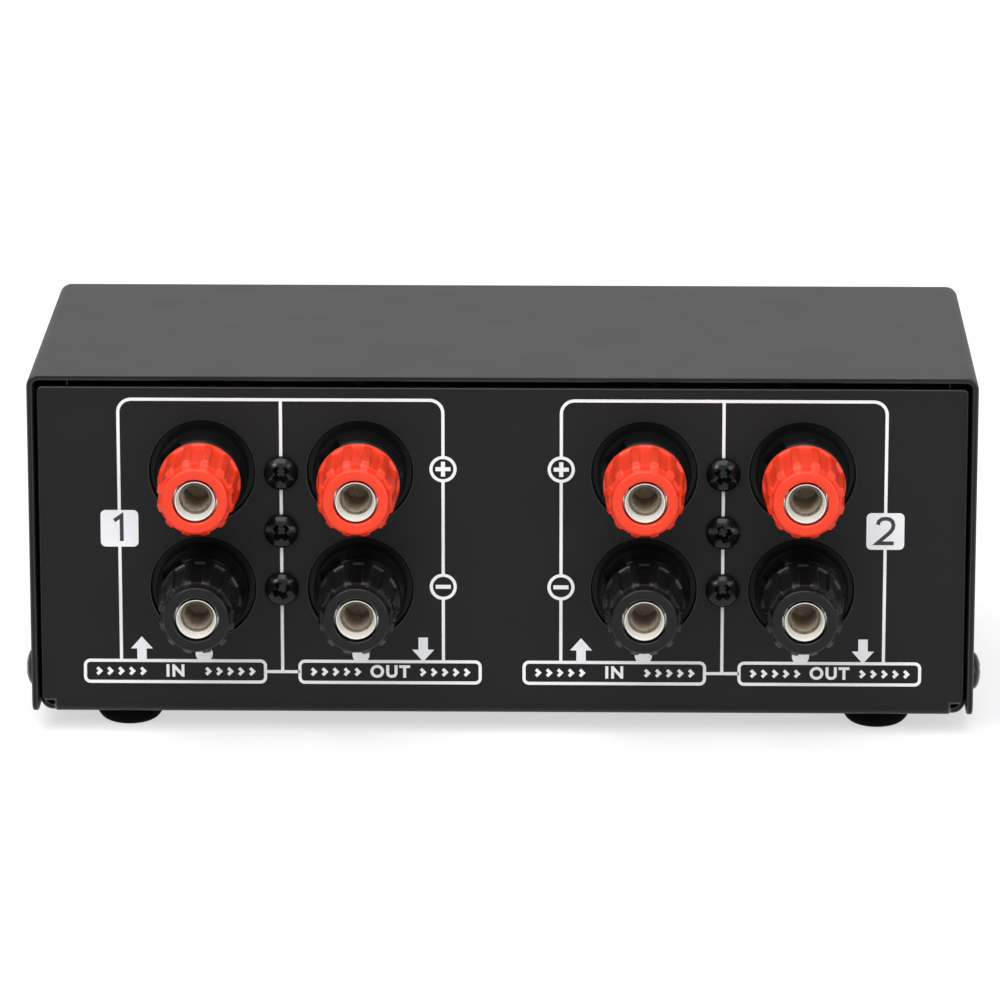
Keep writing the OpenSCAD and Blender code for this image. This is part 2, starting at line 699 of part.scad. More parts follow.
// Knob: smooth skirt, fluted grip and dished face, hollow behind to clear the nut
module knob(side) color("#1f1f20") at_knob(side) difference() {
    union() {
        rod(knob_d, knob_gap, knob_gap + skirt_h);
        rod(grip_d, knob_gap, knob_top_z - face_chamfer);
        translate([0, 0, knob_top_z - face_chamfer])
            cylinder(d1 = grip_d, d2 = grip_d - 2 * face_chamfer, h = face_chamfer);
    }
    for (k = [0:knob_flutes - 1])
        rotate((k + 0.5) * 360 / knob_flutes) translate([grip_d / 2 + flute_r - flute_depth, 0])
            rod(2 * flute_r, knob_gap + skirt_h + clear, knob_top_z + over);
    rod(dish_d, pointer_top_z, knob_top_z + over);
    rod(nut_room_d, knob_gap - over, hub_z);
    rod(shaft_d + 2 * run_fit, knob_gap, shaft_top_z + clear);
    translate([0, pointer_r, pointer_top_z])
        cube([pointer_w + 2 * run_fit, pointer_len + 2 * run_fit, 2 * pointer_t], center = true);
    translate([0, 0, set_screw_z]) rotate([90, 0, 0]) rod(set_screw_d + 2 * run_fit, 0, knob_d);
}

module knob_pointer(side) color("#f4f4f2") at_knob(side)
    translate([-pointer_w / 2, pointer_r - pointer_len / 2, pointer_top_z - pointer_t])
        cube([pointer_w, pointer_len, pointer_t]);

module knob_screw(side) color("#2a2a2a") at_knob(side) translate([0, 0, set_screw_z]) rotate([90, 0, 0])
    difference() {
        rod(set_screw_d, set_screw_r, set_screw_r + set_screw_len);
        translate([0, 0, set_screw_r + set_screw_len - set_screw_d / 2])
            cylinder(d = set_screw_d * socket_share, h = set_screw_d, $fn = 6);
    }

// Wires run from the lugs to the solder tags, with the input on the box's right of each channel
function lug_x(side, k) = side_sign(side) * knob_x + lug_r * sin(k * lug_angle);
function lug_z(k) = base_z + knob_mid - lug_r * cos(k * lug_angle);
function tag_x(side, port) = side_sign(side) * block_x + port * post_pitch / 2;
function tag_z(pole, joint_r) = base_z + block_mid + pole * (row_pitch / 2 + joint_r);
function tag_point(side, port, pole, joint_r) =
    [tag_x(side, port), panel_y + tag_back_s, tag_z(pole, joint_r)];
function lug_point(side, k, face) = [lug_x(side, k), -lug_y, lug_z(k) + face * lug_t / 2];

module signal_wires(side) color("#c23a2c") for (port = [-1, 1]) {
    start = lug_point(side, port, 1);
    end = tag_point(side, port, 1, far_joint_r);
    wire([start, start + [0, 0, hot_rise], end - [0, tag_run, 0], end], [1, 0, 0]);
}

module return_wires(side) color("#202020") {
    start = lug_point(side, 0, -1);
    end = tag_point(side, 1, -1, far_joint_r);
    wire([start, start - [0, 0, return_drop], end - [0, tag_run, 0], end], [1, 0, 0]);
    near_in = tag_point(side, 1, -1, near_joint_r);
    near_out = tag_point(side, -1, -1, near_joint_r);
    wire([near_in, near_in - [0, tag_run, 0], near_out - [0, tag_run, 0], near_out], [0, 0, 1]);
}

chassis_base();
top_cover();
rubber_feet();
cover_screws();
terminal_screws();
stud_nuts();
solder_tags();
bushing_washers();
bushing_nuts();
attenuator_lugs();
for (i = POST_IDS) {
    stud(i);
    cap_insert(i);
    cap_shell(i);
}
for (side = SIDES) {
    terminal_block(side);
    attenuator_housing(side);
    attenuator_back(side);
    resistance_ring(side);
    bushing(side);
    volume_shaft(side);
    wiper(side);
    knob(side);
    knob_pointer(side);
    knob_screw(side);
    signal_wires(side);
    return_wires(side);
}
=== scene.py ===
"""Looks of a two-channel speaker volume control box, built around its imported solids.

Lengths are in metres, in the frame of the solids: the knobs face -Y, the binding posts face +Y,
+Z is up and the feet stand on Z = 0.
"""

from __future__ import annotations

import json
import logging
import math
from dataclasses import dataclass, replace
from enum import Enum, IntEnum
from typing import Sequence

import bmesh
import bpy
from mathutils import Matrix, Vector

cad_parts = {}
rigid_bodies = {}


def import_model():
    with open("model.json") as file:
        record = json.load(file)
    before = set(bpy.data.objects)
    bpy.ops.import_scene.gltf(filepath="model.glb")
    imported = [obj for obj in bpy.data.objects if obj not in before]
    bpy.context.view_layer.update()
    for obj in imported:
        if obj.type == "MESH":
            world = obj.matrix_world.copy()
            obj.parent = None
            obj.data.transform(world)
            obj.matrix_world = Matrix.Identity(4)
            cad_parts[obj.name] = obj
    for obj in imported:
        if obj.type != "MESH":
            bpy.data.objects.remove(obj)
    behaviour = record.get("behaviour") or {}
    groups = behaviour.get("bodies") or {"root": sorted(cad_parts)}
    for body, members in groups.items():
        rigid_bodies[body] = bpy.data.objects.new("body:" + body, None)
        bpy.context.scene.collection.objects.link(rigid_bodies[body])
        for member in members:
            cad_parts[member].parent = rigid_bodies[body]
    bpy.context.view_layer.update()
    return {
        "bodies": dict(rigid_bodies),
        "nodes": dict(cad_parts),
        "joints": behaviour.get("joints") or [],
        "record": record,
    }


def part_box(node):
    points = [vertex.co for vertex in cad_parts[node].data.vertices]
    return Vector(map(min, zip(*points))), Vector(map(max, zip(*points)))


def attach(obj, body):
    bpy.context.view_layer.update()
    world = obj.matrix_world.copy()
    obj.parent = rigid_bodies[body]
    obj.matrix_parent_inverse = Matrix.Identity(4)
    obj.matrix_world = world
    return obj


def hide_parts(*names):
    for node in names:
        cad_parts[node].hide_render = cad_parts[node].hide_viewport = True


log = logging.getLogger("volume_box")

MM = 0.001
TINY = 1e-7
# Most of a noise lies between these values
NOISE_SPAN = (0.3, 0.7)
CLOUD_SIZE = 9 * MM
# Steps around a turned piece, and around a drilled hole
ROUND_STEPS, HOLE_STEPS = 64, 32
# Angles in degrees: up to the first a face counts as flat, from the second an edge is rounded
FLAT_ANGLE, SHARP_ANGLE = 0.5, 40.0
GROOVE = "groove"
INK_SLOT = "pointer_white"
# The least share of a line's width across its mitred corners
LEAST_MITRE = 0.3
WHITE = (1, 1, 1, 1)
Colour = tuple[float, float, float]
Point2 = tuple[float, float]
# A point of a turned outline, with the depth of the groove there
Grooved = tuple[Point2, float]


class Channel(Enum):
    """A channel, named for the side that it is on seen from the knobs, with the pen strokes of its number."""

    RIGHT = ("right", 1, ((-0.2, 0.3), (0.08, 0.5), (0.08, -0.5)))
    LEFT = ("left", -1, (
        (-0.29, 0.26), (-0.25, 0.39), (-0.14, 0.48), (0.0, 0.5), (0.15, 0.48), (0.26, 0.39), (0.3, 0.25),
        (0.28, 0.12), (0.19, -0.02), (-0.3, -0.46), (0.32, -0.46),
    ))

    def __init__(self, label: str, sign: int, number: tuple[Point2, ...]) -> None:
        """Unpacks a channel's name, the sign of its X and the strokes of its number."""
        self.label, self.sign, self.number = label, sign, number


class Port(Enum):
    """A pair of posts, with the sign of its X within its group, its word and its arrow's way."""

    IN = ("in", 1, "IN", 1)
    OUT = ("out", -1, "OUT", -1)

    def __init__(self, label: str, sign: int, word: str, way: int) -> None:
        """Unpacks a port's name, the sign of its X, its word and the way that its arrow points."""
        self.label, self.sign, self.word, self.way = label, sign, word, way


class Pole(Enum):
    """The polarity of a post."""

    POSITIVE = "pos"
    NEGATIVE = "neg"


class Face(Enum):
    """A panel of the box: the way that X runs across it, and the way out of it."""

    REAR = (-1.0, 1.0)
    FRONT = (1.0, -1.0)

    def frame(self, x: float, y: float, z: float) -> Matrix:
        """Gives a frame on the panel: X to the right, Y up and Z out of it.

        Args:
            x: Place of the origin across the box.
            y: Place of the origin along the box.
            z: Height of the origin.

        Returns:
            The matrix from that frame to the box's.
        """
        across, out = self.value
        turn = Matrix(((across, 0, 0), (0, 0, out), (0, 1, 0))).to_4x4()
        return Matrix.Translation((x, y, z)) @ turn

    def at(self, node: str) -> Matrix:
        """Gives the frame on the panel that is in line with a CAD node's middle."""
        low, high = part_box(node)
        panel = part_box("chassis_base")[self is Face.REAR].y
        return self.frame((low.x + high.x) / 2, panel, (low.z + high.z) / 2)


class Layer(IntEnum):
    """A layer of the rear print, from the lowest up."""

    FRAME = 0
    SIGN = 1
    UPRIGHT = 2
    BOX = 3
    JOIN = 4
    DOT = 6
    ARROW = 7


@dataclass(frozen=True)
class Groove:
    """The grooves of a turned piece.

    Attributes:
        count: How many there are around it.
        land: Where their walls lie, from 0 for wide grooves to 1 for none.
        softness: How far the walls spread.
        threads: Turns to a metre, below 0 for a right-hand thread.
    """

    count: int
    land: float
    softness: float
    threads: float = 0.0


class Grain(Enum):
    """The fine texture of a finish."""

    POWDER = "powder"
    MOULDED = "moulded"
    TURNED = "turned"
    WOUND = "wound"
    SPECKLED = "speckled"


class Nodes:
    """Adds the nodes of one tree."""

    def __init__(self, tree: bpy.types.NodeTree) -> None:
        """Keeps the tree."""
        self.tree = tree

    def add(self, kind: str, inputs: dict[str, object] | None = None, **settings: object) -> bpy.types.Node:
        """Adds a node.

        Args:
            kind: The node's type.
            inputs: The value of each named input, or the output that is linked to it.
            **settings: The node's properties.

        Returns:
            The node.
        """
        node = self.tree.nodes.new(kind)
        for key, value in settings.items():
            setattr(node, key, value)
        for key, value in (inputs or {}).items():
            self.feed(value, node.inputs[key])
        return node

    def feed(self, value: object, socket: bpy.types.NodeSocket) -> None:
        """Links an output to an input, or sets the input to a value."""
        if isinstance(value, bpy.types.NodeSocket):
            self.tree.links.new(value, socket)
        else:
            socket.default_value = value

    def math(self, operation: str, *values: bpy.types.NodeSocket | float) -> bpy.types.NodeSocket:
        """Adds a sum on outputs and numbers."""
        node = self.add("ShaderNodeMath", operation=operation)
        for value, socket in zip(values, node.inputs):
            self.feed(value, socket)
        return node.outputs[0]


class Bench(Nodes):
    """Builds the node tree of one material."""

    def __init__(self, name: str) -> None:
        """Starts a material with a shader, an output and object coordinates."""
        self.material = bpy.data.materials.new(name)
        self.material.use_nodes = True
        super().__init__(self.material.node_tree)
        self.tree.nodes.clear()
        self.shader = self.add("ShaderNodeBsdfPrincipled")
        self.add("ShaderNodeOutputMaterial", {"Surface": self.shader.outputs["BSDF"]})
        self.coords = self.add("ShaderNodeTexCoord").outputs["Object"]

    def dress(self, inputs: dict[str, object]) -> None:
        """Sets or links inputs of the shader."""
        for key, value in inputs.items():
            self.feed(value, self.shader.inputs[key])

    def noise(
        self, size: float, detail: float = 3.0, stretch: Sequence[float] = (1, 1, 1)
    ) -> bpy.types.NodeSocket:
        """Adds a noise of a given feature size.

        Args:
            size: About the size of a feature.
            detail: Octaves of finer noise.
            stretch: Scale of the pattern along X, Y and Z.

        Returns:
            The noise's value.
        """
        place = self.add("ShaderNodeMapping", {"Vector": self.coords, "Scale": stretch}).outputs["Vector"]
        inputs = {"Vector": place, "Scale": 1 / size, "Detail": detail}
        return self.add("ShaderNodeTexNoise", inputs).outputs["Fac"]

    def bands(self, size: float) -> bpy.types.NodeSocket:
        """Adds fine bands across Y, such as turns of wire, a given distance apart."""
        inputs = {"Vector": self.coords, "Scale": 1 / size / 2, "Distortion": 0.4}
        return self.add("ShaderNodeTexWave", inputs, wave_type="BANDS", bands_direction="Y").outputs["Fac"]

    def spread(self, value: bpy.types.NodeSocket, low: float, high: float) -> bpy.types.NodeSocket:
        """Maps the middle of a noise's values to a range.

        Args:
            value: The noise.
            low: The lowest result.
            high: The highest result.

        Returns:
            The mapped value.
        """
        start, end = NOISE_SPAN
        inputs = {"Value": value, "From Min": start, "From Max": end, "To Min": low, "To Max": high}
        return self.add("ShaderNodeMapRange", inputs).outputs["Result"]

    def blend(self, value: bpy.types.NodeSocket, low: Colour, high: Colour) -> bpy.types.NodeSocket:
        """Blends two colours by a noise.

        Args:
            value: The noise.
            low: The colour where the noise is low.
            high: The colour where it is high.

        Returns:
            The colour.
        """
        node = self.add("ShaderNodeValToRGB", {"Fac": value})
        for stop, place, colour in zip(node.color_ramp.elements, NOISE_SPAN, (low, high)):
            stop.position, stop.color = place, (*colour, 1)
        return node.outputs["Color"]

    def bump(self, height: bpy.types.NodeSocket, depth: float, strength: float) -> None:
        """Turns a noise into relief on the shader.

        Args:
            height: The noise.
            depth: The depth of the relief.
            strength: How much of it shows, from 0 to 1.
        """
        inputs = {"Height": height, "Distance": depth, "Strength": strength}
        self.dress({"Normal": self.add("ShaderNodeBump", inputs).outputs["Normal"]})


@dataclass(frozen=True)
class Finish:
    """A surface finish, made as a node material.

    Attributes:
        name: The material's name.
        colour: Linear colour where the tone is darkest.
        tone: Linear colour where the tone is lightest.
        roughness: Lowest and highest roughness.
        grain: The fine texture.
        grain_size: Size of a feature of the fine texture.
        relief: Depth of the fine texture.
        strength: How much of the relief shows.
        metallic: 1 for bare metal.
        specular: Specular level of the shader.
    """

    name: str
    colour: Colour
    tone: Colour
    roughness: tuple[float, float]
    grain: Grain = Grain.MOULDED
    grain_size: float = 0.4 * MM
    relief: float = 0.02 * MM
    strength: float = 0.25
    metallic: float = 0.0
    specular: float = 0.5

    def make(self) -> bpy.types.Material:
        """Makes the finish's material, once."""
        found = bpy.data.materials.get(self.name)
        if found:
            return found
        bench = Bench(self.name)
        cloud, fine = bench.noise(CLOUD_SIZE, 4), self._fine(bench)
        bench.dress({
            "Base Color": bench.blend(self._tone(fine, cloud), self.colour, self.tone),
            "Roughness": bench.spread(cloud, *self.roughness),
            "Metallic": self.metallic,
            "Specular IOR Level": self.specular,
        })
        bench.bump(fine, self.relief, self.strength)
        bench.material.diffuse_color = (*self.tone, 1)
        return bench.material

    def _fine(self, bench: Bench) -> bpy.types.NodeSocket:
        """Adds the fine texture."""
        if self.grain is Grain.TURNED:
            return bench.noise(self.grain_size, 2, (0.15, 4, 0.15))
        if self.grain is Grain.WOUND:
            return bench.bands(self.grain_size)
        return bench.noise(self.grain_size, 5 if self.grain is Grain.POWDER else 2)

    def _tone(self, fine: bpy.types.NodeSocket, cloud: bpy.types.NodeSocket) -> bpy.types.NodeSocket:
        """Picks the noise that the colour follows."""
        return fine if self.grain in (Grain.WOUND, Grain.SPECKLED, Grain.TURNED) else cloud


CASE_PAINT = Finish(
    "case_paint", (0.0046, 0.0046, 0.0048), (0.0052, 0.0052, 0.0054), (0.45, 0.48),
    Grain.POWDER, 0.35 * MM, 0.03 * MM, 0.25, specular=0.2,
)
CASE_EDGE = replace(CASE_PAINT, name="case_edge", roughness=(0.3, 0.34), specular=0.7)
CASE_RIM = replace(CASE_EDGE, name="case_rim", specular=0.45)
RED_CAP = Finish(
    "red_cap", (0.77, 0.04, 0.011), (0.81, 0.047, 0.015), (0.24, 0.34), relief=0.01 * MM, specular=0.32,
)
BLACK_CAP = Finish(
    "black_cap", (0.005, 0.005, 0.0056), (0.0065, 0.0065, 0.0073), (0.2, 0.28),
    relief=0.01 * MM, specular=0.2,
)
BLACK_BLOCK = Finish(
    "black_block", (0.003, 0.003, 0.0033), (0.004, 0.004, 0.0044), (0.2, 0.3), specular=0.12,
)
NICKEL = Finish(
    "nickel", (0.7, 0.66, 0.57), (0.8, 0.77, 0.69), (0.2, 0.32),
    Grain.TURNED, 0.3 * MM, 0.01 * MM, metallic=1.0,
)
# Painted highlight: the stud's flared mouth in a paler, partly diffuse nickel, so that it shows as a bright
# ring
MOUTH_PAINTED_HIGHLIGHT = replace(
    NICKEL, name="mouth_painted_highlight", colour=(0.9, 0.87, 0.8), tone=(0.96, 0.94, 0.89),
    roughness=(0.35, 0.45), metallic=0.35,
)
# Painted shade: the bore's walls and floor in a dull, speckled brown, darker and less metallic than the
# stud's nickel
BORE_PAINTED_SHADE = Finish(
    "bore_painted_shade", (0.4, 0.335, 0.26), (0.64, 0.55, 0.44), (0.45, 0.6),
    Grain.SPECKLED, 0.6 * MM, 0.05 * MM, metallic=0.2,
)
# Painted shade: the step where the mouth meets the bore, far darker than the stud's metal
SEAT_PAINTED_SHADE = replace(
    BORE_PAINTED_SHADE, name="seat_painted_shade", colour=(0.055, 0.046, 0.033), tone=(0.14, 0.118, 0.09),
)
STEEL = replace(
    NICKEL, name="steel", colour=(0.5, 0.49, 0.47), tone=(0.64, 0.63, 0.6), roughness=(0.28, 0.4),
)
TINNED = Finish(
    "tinned", (0.58, 0.5, 0.34), (0.7, 0.64, 0.5), (0.3, 0.45),
    Grain.POWDER, 0.5 * MM, 0.01 * MM, metallic=1.0,
)
SCREW_BLACK = Finish(
    "screw_black", (0.004, 0.004, 0.004), (0.007, 0.007, 0.007), (0.14, 0.2),
    Grain.POWDER, 0.3 * MM, 0.005 * MM, specular=0.26,
)
FOOT_RUBBER = Finish(
    "rubber", (0.0014, 0.0014, 0.0014), (0.002, 0.002, 0.002), (0.7, 0.85),
    Grain.POWDER, 0.25 * MM, 0.03 * MM, 0.35, specular=0.03,
)
PHENOLIC = Finish(
    "phenolic_brown", (0.05, 0.026, 0.014), (0.085, 0.046, 0.026), (0.45, 0.6),
    Grain.POWDER, 0.8 * MM, 0.03 * MM,
)
WINDING = Finish(
    "wire_winding", (0.18, 0.1, 0.03), (0.62, 0.42, 0.17), (0.3, 0.42),
    Grain.WOUND, 0.35 * MM, 0.1 * MM, 0.8, metallic=1.0,
)
KNOB_BLACK = Finish(
    "knob_black", (0.008, 0.008, 0.008), (0.012, 0.012, 0.0125), (0.4, 0.52),
    Grain.POWDER, 0.3 * MM, 0.02 * MM, specular=0.35,
)
WHITE_INK = Finish(
    "white_ink", (0.8, 0.81, 0.82), (0.88, 0.89, 0.9), (0.45, 0.6), Grain.SPECKLED, 0.18 * MM, 0.01 * MM,
)
GREY_INK = replace(WHITE_INK, name="grey_ink", colour=(0.78, 0.8, 0.83), tone=(0.86, 0.88, 0.91))
DARK_INK = replace(WHITE_INK, name="dark_ink", colour=(0.012, 0.012, 0.012), tone=(0.02, 0.02, 0.02))
RED_WIRE = Finish("red_insulation", (0.42, 0.02, 0.012), (0.55, 0.035, 0.02), (0.35, 0.45))
BLACK_WIRE = replace(RED_WIRE, name="black_insulation", colour=(0.01, 0.01, 0.01), tone=(0.016, 0.016, 0.016))

FINISHED_NODES: dict[Finish, tuple[str, ...]] = {
    CASE_PAINT: ("top_cover", "chassis_base"),
    FOOT_RUBBER: ("rubber_feet",),
    SCREW_BLACK: ("cover_screws", "terminal_screws", "knob_screw"),
    BLACK_BLOCK: ("terminal_block",),
    NICKEL: ("stud", "cap_insert"),
    STEEL: ("stud_nuts", "bushing", "volume_shaft"),
    TINNED: ("solder_tags", "attenuator_lugs", "wiper"),
    PHENOLIC: ("attenuator_housing", "attenuator_back"),
    WINDING: ("resistance_ring",),
    KNOB_BLACK: ("knob",),
    WHITE_INK: ("knob_pointer",),
    RED_WIRE: ("signal_wires",),
    BLACK_WIRE: ("return_wires",),
}
NODE_FINISHES = {node: finish for finish, nodes in FINISHED_NODES.items() for node in nodes}


def finish_of(node: str) -> Finish:
    """Picks the finish of a CAD node by the longest known name that it starts with."""
    if node.startswith("cap_shell"):
        return RED_CAP if node.endswith(Pole.POSITIVE.value) else BLACK_CAP
    known = [name for name in NODE_FINISHES if node.startswith(name)]
    return NODE_FINISHES[max(known, key=len)]


class Rig:
    """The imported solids: the body that each node rides on, and the slot that paints it."""

    def __init__(self, frame: dict) -> None:
        """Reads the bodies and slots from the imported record."""
        self.nodes: dict[str, bpy.types.Object] = frame["nodes"]
        bodies = frame["record"]["behaviour"]["bodies"]
        self.body_of = {node: body for body, nodes in bodies.items() for node in nodes}
        self.slot_of = {part["node"]: part["material_slot"] for part in frame["record"]["subparts"]}

    def dress(self) -> None:
        """Gives every CAD node its finish."""
        for name, node in self.nodes.items():
            paint(node, finish_of(name))
        log.info("dressed %d solids", len(self.nodes))

    def hang(self, piece: bpy.types.Object, node: str) -> None:
        """Hangs a finished piece on the frame in place of a CAD node."""
        self.add(piece, self.body_of[node], self.slot_of[node])
        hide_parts(node)

    def hang_copy(self, pattern: bpy.types.Object, node: str, place: Matrix) -> None:
        """Hangs a copy of a pattern on the frame in place of a CAD node."""
        mesh = pattern.data.copy()
        mesh.transform(place)
        self.hang(link(node + "_fine", mesh), node)

    def print_on(self, piece: bpy.types.Object, slot: str = INK_SLOT) -> None:
        """Hangs a piece of print on the panels' body."""
        self.add(piece, self.body_of["chassis_base"], slot)

    def add(self, piece: bpy.types.Object, body: str, slot: str) -> None:
        """Hangs a finished piece on a body.

        Args:
            piece: The piece, in place.
            body: The body that it rides on.
            slot: The record's material slot that paints it; not used.
        """
        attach(piece, body)
        log.info("%s: %d faces on %s", piece.name, len(piece.data.polygons), body)


def paint(piece: bpy.types.Object, finish: Finish) -> None:
    """Gives a piece one finish."""
    piece.data.materials.clear()
    piece.data.materials.append(finish.make())


def bake(piece: bpy.types.Object) -> None:
    """Turns a piece's modifiers into a plain mesh."""
    graph = bpy.context.evaluated_depsgraph_get()
    mesh = bpy.data.meshes.new_from_object(piece.evaluated_get(graph), depsgraph=graph)
    piece.modifiers.clear()
    piece.data = mesh


def shade(piece: bpy.types.Object, angle: float = 35.0) -> None:
    """Shades a piece smooth, apart from edges sharper than an angle in degrees."""
    piece.data.shade_smooth()
    piece.data.set_sharp_from_angle(angle=math.radians(angle))


def link(name: str, mesh: bpy.types.Mesh) -> bpy.types.Object:
    """Puts a mesh in the scene as an object at the origin."""
    piece = bpy.data.objects.new(name, mesh)
    bpy.context.scene.collection.objects.link(piece)
    return piece


def remove(piece: bpy.types.Object) -> None:
    """Takes a tool or pattern out of the scene."""
    bpy.data.objects.remove(piece, do_unlink=True)


def arc(centre: Point2, radius: float, start: float, end: float, steps: int) -> list[Point2]:
    """Gives points along an arc.

    Args:
        centre: The arc's centre.
        radius: Its radius.
        start: The angle of its first point in degrees.
        end: The angle of its last point in degrees.
        steps: The number of steps between them.

    Returns:
        The points.
    """
    angles = [math.radians(start + (end - start) * k / steps) for k in range(steps + 1)]
    return [(centre[0] + radius * math.cos(a), centre[1] + radius * math.sin(a)) for a in angles]


def rounded(low: Point2, high: Point2, radius: float, steps: int = 6) -> list[Point2]:
    """Gives the outline of a rectangle with round corners.

    Args:
        low: The lower left corner.
        high: The upper right corner.
        radius: The radius of the corners.
        steps: The number of steps to a corner.

    Returns:
        The outline, anticlockwise.
    """
    x0, y0, x1, y1 = low[0] + radius, low[1] + radius, high[0] - radius, high[1] - radius
    middles = [((x1, y1), 0), ((x0, y1), 90), ((x0, y0), 180), ((x1, y0), 270)]
    return [point for middle, start in middles for point in arc(middle, radius, start, start + 90, steps)]


class Form:
    """A mesh under construction, in a local frame."""

    def __init__(self) -> None:
        """Starts an empty mesh, whose points hold the depth of a groove."""
        self.mesh = bmesh.new()
        self.groove = self.mesh.verts.layers.float.new(GROOVE)

    def turned(self, outline: Sequence[Point2], steps: int, grooves: Sequence[float] = ()) -> Form:
        """Turns a closed outline about Z.

        Args:
            outline: The outline's (radius, height) points.
            steps: The number of steps around the axis.
            grooves: The depth of a groove at each point, if it has any.

        Returns:
            The form.
        """
        rings = []
        for index, (radius, height) in enumerate(outline):
            count = steps if radius > TINY else 1
            angles = [math.tau * k / steps for k in range(count)]
            ring = [self.mesh.verts.new((radius * math.cos(a), radius * math.sin(a), height)) for a in angles]
            for vertex in ring:
                vertex[self.groove] = grooves[index] if grooves else 0.0
            rings.append(ring)
        for lower, upper in zip(rings, rings[1:] + rings[:1]):
            self._skin(lower, upper, steps)
        return self

    def _skin(self, lower: list, upper: list, steps: int) -> None:
        """Joins two rings with faces. A ring of one point is a tip on the axis."""
        for k in range(steps):
            after = (k + 1) % steps
            corners = [lower[k % len(lower)], lower[after % len(lower)]]
            corners += [upper[after % len(upper)], upper[k % len(upper)]]
            face = list(dict.fromkeys(corners))
            if len(face) > 2:
                self.mesh.faces.new(face)

    def slab(self, outline: Sequence[Point2], low: float, high: float) -> Form:
        """Adds a flat slab between two heights.

        Args:
            outline: The slab's outline.
            low: The height of its underside.
            high: The height of its top.

        Returns:
            The form.
        """
        lower = [self.mesh.verts.new((x, y, low)) for x, y in outline]
        upper = [self.mesh.verts.new((x, y, high)) for x, y in outline]
        self.mesh.faces.new(lower[::-1])
        self.mesh.faces.new(upper)
        self._skin(lower, upper, len(outline))
        return self

    def stroke(
        self, path: Sequence[Point2], width: float, low: float, high: float, closed: bool = False
    ) -> Form:
        """Draws a line as a slab with mitred corners.

        Args:
            path: The line's points.
            width: The line's width.
            low: The height of its underside.
            high: The height of its top.
            closed: Whether its end joins its start.

        Returns:
            The form.
        """
        points = [Vector(point) for point in path]
        count = len(points)
        rails = []
        for k, point in enumerate(points):
            before = points[k - 1] if k or closed else point
            after = points[(k + 1) % count] if k < count - 1 or closed else point
            ways = [way.normalized() for way in (point - before, after - point) if way.length > TINY]
            along = sum(ways, Vector((0, 0))).normalized()
            side = Vector((-along.y, along.x)) * width / 2 / max(along.dot(ways[0]), LEAST_MITRE)
            spots = ((point - side, low), (point + side, low), (point + side, high), (point - side, high))
            rails.append([self.mesh.verts.new((*spot, z)) for spot, z in spots])
        for k in range(count if closed else count - 1):
            self._skin(rails[k], rails[(k + 1) % count], 4)
        if not closed:
            self.mesh.faces.new(rails[0][::-1])
            self.mesh.faces.new(rails[-1])
        return self

    def lettering(
        self, words: str, middle: Point2, size: float, low: float, high: float, bold: float = 0,
        spacing: float = 1,
    ) -> Form:
        """Adds generic lettering as raised ink.

        Args:
            words: The words or number.
            middle: The middle of the lettering.
            size: The size of the letters.
            low: The height of the letters' underside.
            high: The height of their top.
            bold: How far the outlines move out, as a share of the size.
            spacing: The distance between letters, as a share of the font's own.

        Returns:
            The form.
        """
        curve = bpy.data.curves.new("letters", "FONT")
        curve.body, curve.size, curve.space_character = words, size, spacing
        curve.align_x, curve.align_y = "CENTER", "CENTER"
        curve.offset, curve.extrude = bold * size, (high - low) / 2
        text = bpy.data.objects.new("letters", curve)
        mesh = bpy.data.meshes.new_from_object(text)
        remove(text)
        mesh.transform(Matrix.Translation((*middle, (low + high) / 2)))
        self.mesh.from_mesh(mesh)
        bpy.data.meshes.remove(mesh)
        return self

    def piece(self, name: str, finish: Finish, place: Matrix | None = None) -> bpy.types.Object:
        """Ends the form as an object.

        Args:
            name: The object's name.
            finish: Its finish.
            place: Where it goes.

        Returns:
            The object, with its place in its mesh.
        """
        bmesh.ops.remove_doubles(self.mesh, verts=self.mesh.verts, dist=TINY)
        bmesh.ops.recalc_face_normals(self.mesh, faces=self.mesh.faces)
        if place:
            self.mesh.transform(place)
        mesh = bpy.data.meshes.new(name)
        self.mesh.to_mesh(mesh)
        self.mesh.free()
        made = link(name, mesh)
        paint(made, finish)
        return made


class Tree(Nodes):
    """Builds a Geometry Nodes tree with named inputs."""

    def __init__(self, name: str, inputs: dict[str, str]) -> None:
        """Starts a tree.

        Args:
            name: The tree's name.
            inputs: The kind of socket of each named input, besides the geometry and the material.
        """
        super().__init__(bpy.data.node_groups.new(name, "GeometryNodeTree"))
        kinds = {"Geometry": "Geometry", "Material": "Material", **inputs}
        for label, kind in kinds.items():
            self.tree.interface.new_socket(label, in_out="INPUT", socket_type="NodeSocket" + kind)
        self.tree.interface.new_socket("Geometry", in_out="OUTPUT", socket_type="NodeSocketGeometry")
        self.given = self.add("NodeGroupInput").outputs

    def end(self, geometry: bpy.types.NodeSocket) -> bpy.types.NodeTree:
        """Ends the tree with real geometry in the given material."""
        real = self.add("GeometryNodeRealizeInstances", {"Geometry": geometry}).outputs[0]
        inputs = {"Geometry": real, "Material": self.given["Material"]}
        self.add("NodeGroupOutput", {"Geometry": self.add("GeometryNodeSetMaterial", inputs).outputs[0]})
        return self.tree


